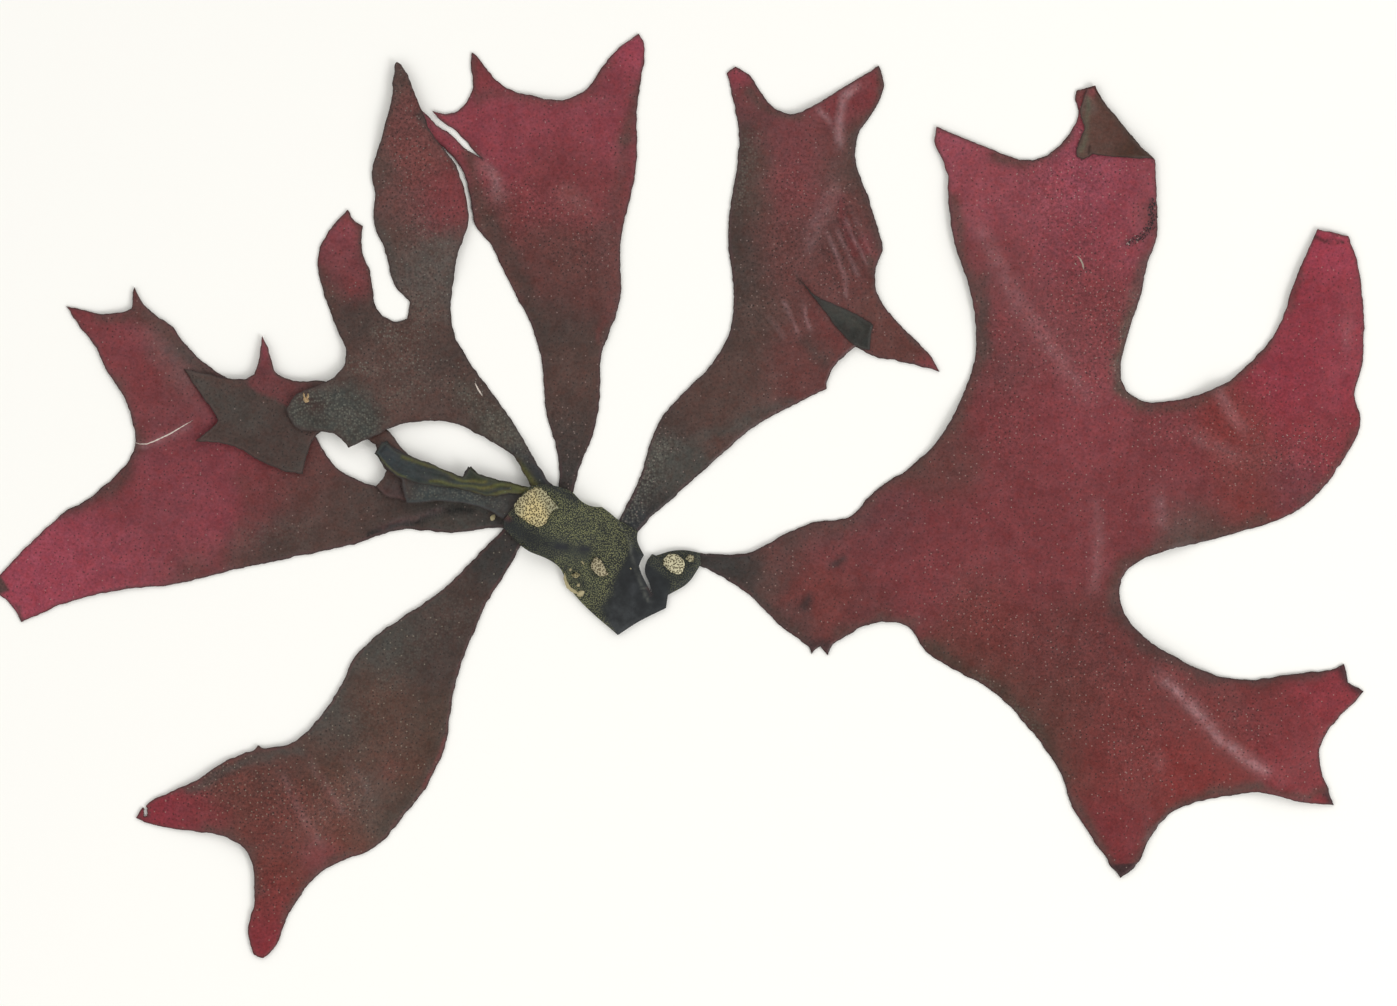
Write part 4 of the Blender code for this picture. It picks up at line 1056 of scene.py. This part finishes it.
SCORCH = [(225.4, 48.6), (228, 47.6), (230, 45.6), (230.6, 43.6), (230.4, 41.6), (230.8, 39.6)]
lay_strips(
    "black_crumbs_right", dull_skin("black_crumbled_skin", "#1b1315"), "right_frond", on_right,
    crumbs(SCORCH, 0.42, 120, 0.32, 21), 15,
)
flakes = crumbs(SCORCH[:2], 0.35, 10, 0.26, 22)
flakes += crumbs([(250, 82), (252, 88), (263, 88), (268, 84)], 0.8, 40, 0.22, 23)
flakes += crumbs([(220, 66), (228, 58), (224, 74)], 2.5, 40, 0.18, 24)
lay_strips(
    "pale_crumbs_right", dull_skin("pale_flaked_skin", "#94857f"), "right_frond", on_right, flakes, 16
)

# The lower left frond.
# A thin leathery blade that lies flat on the surface below the others, with a forked end. It is
# brown and grey, reddening towards its two tips, and its left tip is torn in two small places.
brick_tissue = dry_tissue("dry_thallus_brown_to_brick", "#a39a88", 0.09, edge="#5c3436")
grow_blade("lower_left", brick_tissue, [
    (100, 112, 5, SOOT), (92, 122, 6, UMBER), (86, 132, 6, UMBER), (78, 130, 5, SLATE),
    (76, 142, 7, "#4f3a32"), (86, 144, 5, "#46372f"), (68, 146, 5, SLATE), (66, 152, 6, "#51382f"),
    (78, 152, 5, "#50382f"), (56, 153, 5, "#54352f"), (58, 164, 6, "#5e332e"), (46, 157, 5, "#5c352f"),
    (40, 162, 4, "#702e33"), (33, 163, 4, "#782d37"), (54, 172, 5, "#602f2a"), (53, 180, 4, "#6a2d2c"),
    (52, 188, 5, "#762d34"), (66, 164, 5, "#5e382f"), (64, 170.4, 3, "#6f3a3c"),
    (78, 154, 1.8, "#5d352f"), (76, 161, 5, "#4f4039"),
], marks=[
    ([(88, 119), (78, 126), (71, 132), (68, 139), (62, 146)], 1.5, SLATE, 0.7),
    ([(60, 150), (52, 151), (45, 154), (38, 158)], 1.3, SLATE, 0.7),
    ([(57, 184), (59, 180), (63, 175), (70, 170.6)], 1.0, BROWN, 0.7),
    ([(42, 165.6), (46, 167), (49.6, 170), (51.2, 178)], 1.6, BROWN, 0.8),
    ([(90, 140), (88, 150), (82, 160), (76, 167)], 1.5, "#463d37", 0.6),
    ([(89.4, 148), (87.4, 153), (84.6, 157.6)], 0.5, "#6b3634", 0.7),
], creases=[
    ([(56, 154), (59.4, 161), (64, 169.6)], 0.8, 0.3, 0.12),
    ([(61.6, 151), (65.6, 158), (69.4, 163.6)], 0.7, 0.25, 0.1),
    ([(68, 150), (71.6, 155.4), (74, 160)], 0.7, 0.15, 0.05),
    ([(59.4, 152), (63, 159), (67, 166)], 0.6, -0.12, -0.15),
], dust=[([(92, 122), (78, 134), (72, 144)], 5.0, 0.18)], rough=[
    ([(44, 156), (56, 160), (68, 160)], 7.0, 1.0), ([(54, 164), (53, 178)], 4.0, 0.8),
    ([(66, 148), (80, 150)], 6.0, 0.4),
], tears=[
    [(28.4, 160.9), (28.9, 160.7), (29.5, 161.8), (29, 162), (28.4, 160.9)],
    [(29, 161.8), (29.5, 161.8), (29.5, 162.9), (29.1, 163.4), (28.85, 163.2), (29, 161.8)],
], pulls=[(102.2, 107.6, 1.2, -1.1, 3.0), (51.6, 149.6, 0.0, -1.0, 0.6)], seed=8)

# The moss-animal crusts on the holdfast blade, and the crumbs beside them.
# Thin limy mats of tiny open boxes, cream to golden, left by colonies that lived on the plant and
# cemented themselves to it.
POLYP_SPACING = 0.41
BOX_WALL_HEIGHT = 0.15
MAT_REFINE = 3
MAT_THICKNESS = 0.9


def limy_crust(name):
    """Dull chalky lime: pale walls round pores as deep as they are wide, the pores painted dark as painted
    shade.
    """
    material = new_finish(name, {"Roughness": 0.85, "Specular IOR Level": 0.2})
    tree = material.node_tree
    place = add(tree, "ShaderNodeTexCoord", out="Object")
    tint = add(tree, "ShaderNodeAttribute", attribute_name="tint")
    pores = add(
        tree, "ShaderNodeTexVoronoi", {"Scale": 1 / (POLYP_SPACING * MM)}, {"Vector": place},
        voronoi_dimensions="2D",
    )
    wall = add(
        tree, RANGE, {1: 0.14, 2: 0.50, 3: 0.0, 4: 1.0}, {0: pores}, interpolation_type="SMOOTHSTEP"
    )
    # The pores take a dark colour: painted shade inside the open boxes.
    colour = add(
        tree, MIX, {6: hex_colour("#564d37")}, {0: wall, 7: tint}, out=2, data_type="RGBA"
    )
    bump = add(
        tree, "ShaderNodeBump", {"Strength": 0.9, "Distance": BOX_WALL_HEIGHT * MM}, {"Height": wall}
    )
    shader = tree.nodes["Principled BSDF"]
    tree.links.new(colour, shader.inputs["Base Color"])
    tree.links.new(bump, shader.inputs["Normal"])
    return material


crust_finish = limy_crust("limy_moss_animal_crust")
for node, patches in (
    ("crust_holdfast", [
        (106.6, 101.8, 2.2, "#d0be8a"), (104.4, 99.6, 1.6, "#aea686"), (109.4, 99.4, 1.6, "#a9a485"),
        (110.6, 101.6, 1.2, "#94937a"), (107.6, 104.4, 1.4, "#bfb389"), (103.6, 102, 1.2, "#a8a384"),
    ]),
    ("crust_middle", [(119.6, 113.2, 2, "#aea488")]),
    ("crust_left_margin", [(115.2, 115, 2, "#9d9470")]),
    ("crust_right_stub", [(134.6, 112.6, 3, "#cac3a3")]),
    ("crust_neck", [(138, 111.6, 1, "#a39d80")]),
):
    crust = refine(open_surface(node, 1), node.replace("crust", "limy_mat"), MAT_REFINE)
    coords = read_places(crust)
    away = margin_distance(crust, coords)
    sx, sy = sheet_places(coords)
    coords[:, 2] += (0.12 * wander(coords, 0.5, 4.0) - 0.45 * np.exp(-((away / 0.35) ** 2))) * MM
    ragged = 0.22 * MM * np.exp(-away / 0.4)
    coords[:, 0] += ragged * wander(coords, 0.7, 6.0)
    coords[:, 1] += ragged * wander(coords, 0.7, 8.0)
    write_places(crust, coords)
    store(crust, "tint", paint(sx, sy, patches))
    thicken(crust, MAT_THICKNESS)
    finish_piece(crust, crust_finish, "moss_animal_crust", node)

lay_strips(
    "limy_bits_on_holdfast", dull_skin("pale_limy_bits", "#aa9f7a"), "moss_animal_crust",
    rest_on(holdfast_blade, left_frond, horned_frond), [
        ([(112.9, 114.6), (113.1, 116), (113.7, 117.3), (114.5, 118), (115.5, 118.6),
          (116.2, 119.4)], 0.8, 0.3),
        ([(113.9, 113.8), (114.3, 114.1)], 0.6, 0.3), ([(115.5, 116.8), (115.9, 117.3)], 0.7, 0.3),
        ([(115.9, 118.2), (116.5, 119.2)], 1.2, 0.4), ([(116.3, 112.2), (116.9, 113)], 0.4, 0.25),
        ([(98.2, 103.2), (98.6, 103.5), (99, 103.7)], 1.3, 0.3),
        ([(126, 113.6), (126.3, 113.8)], 0.3, 0.15),
    ], 17,
)
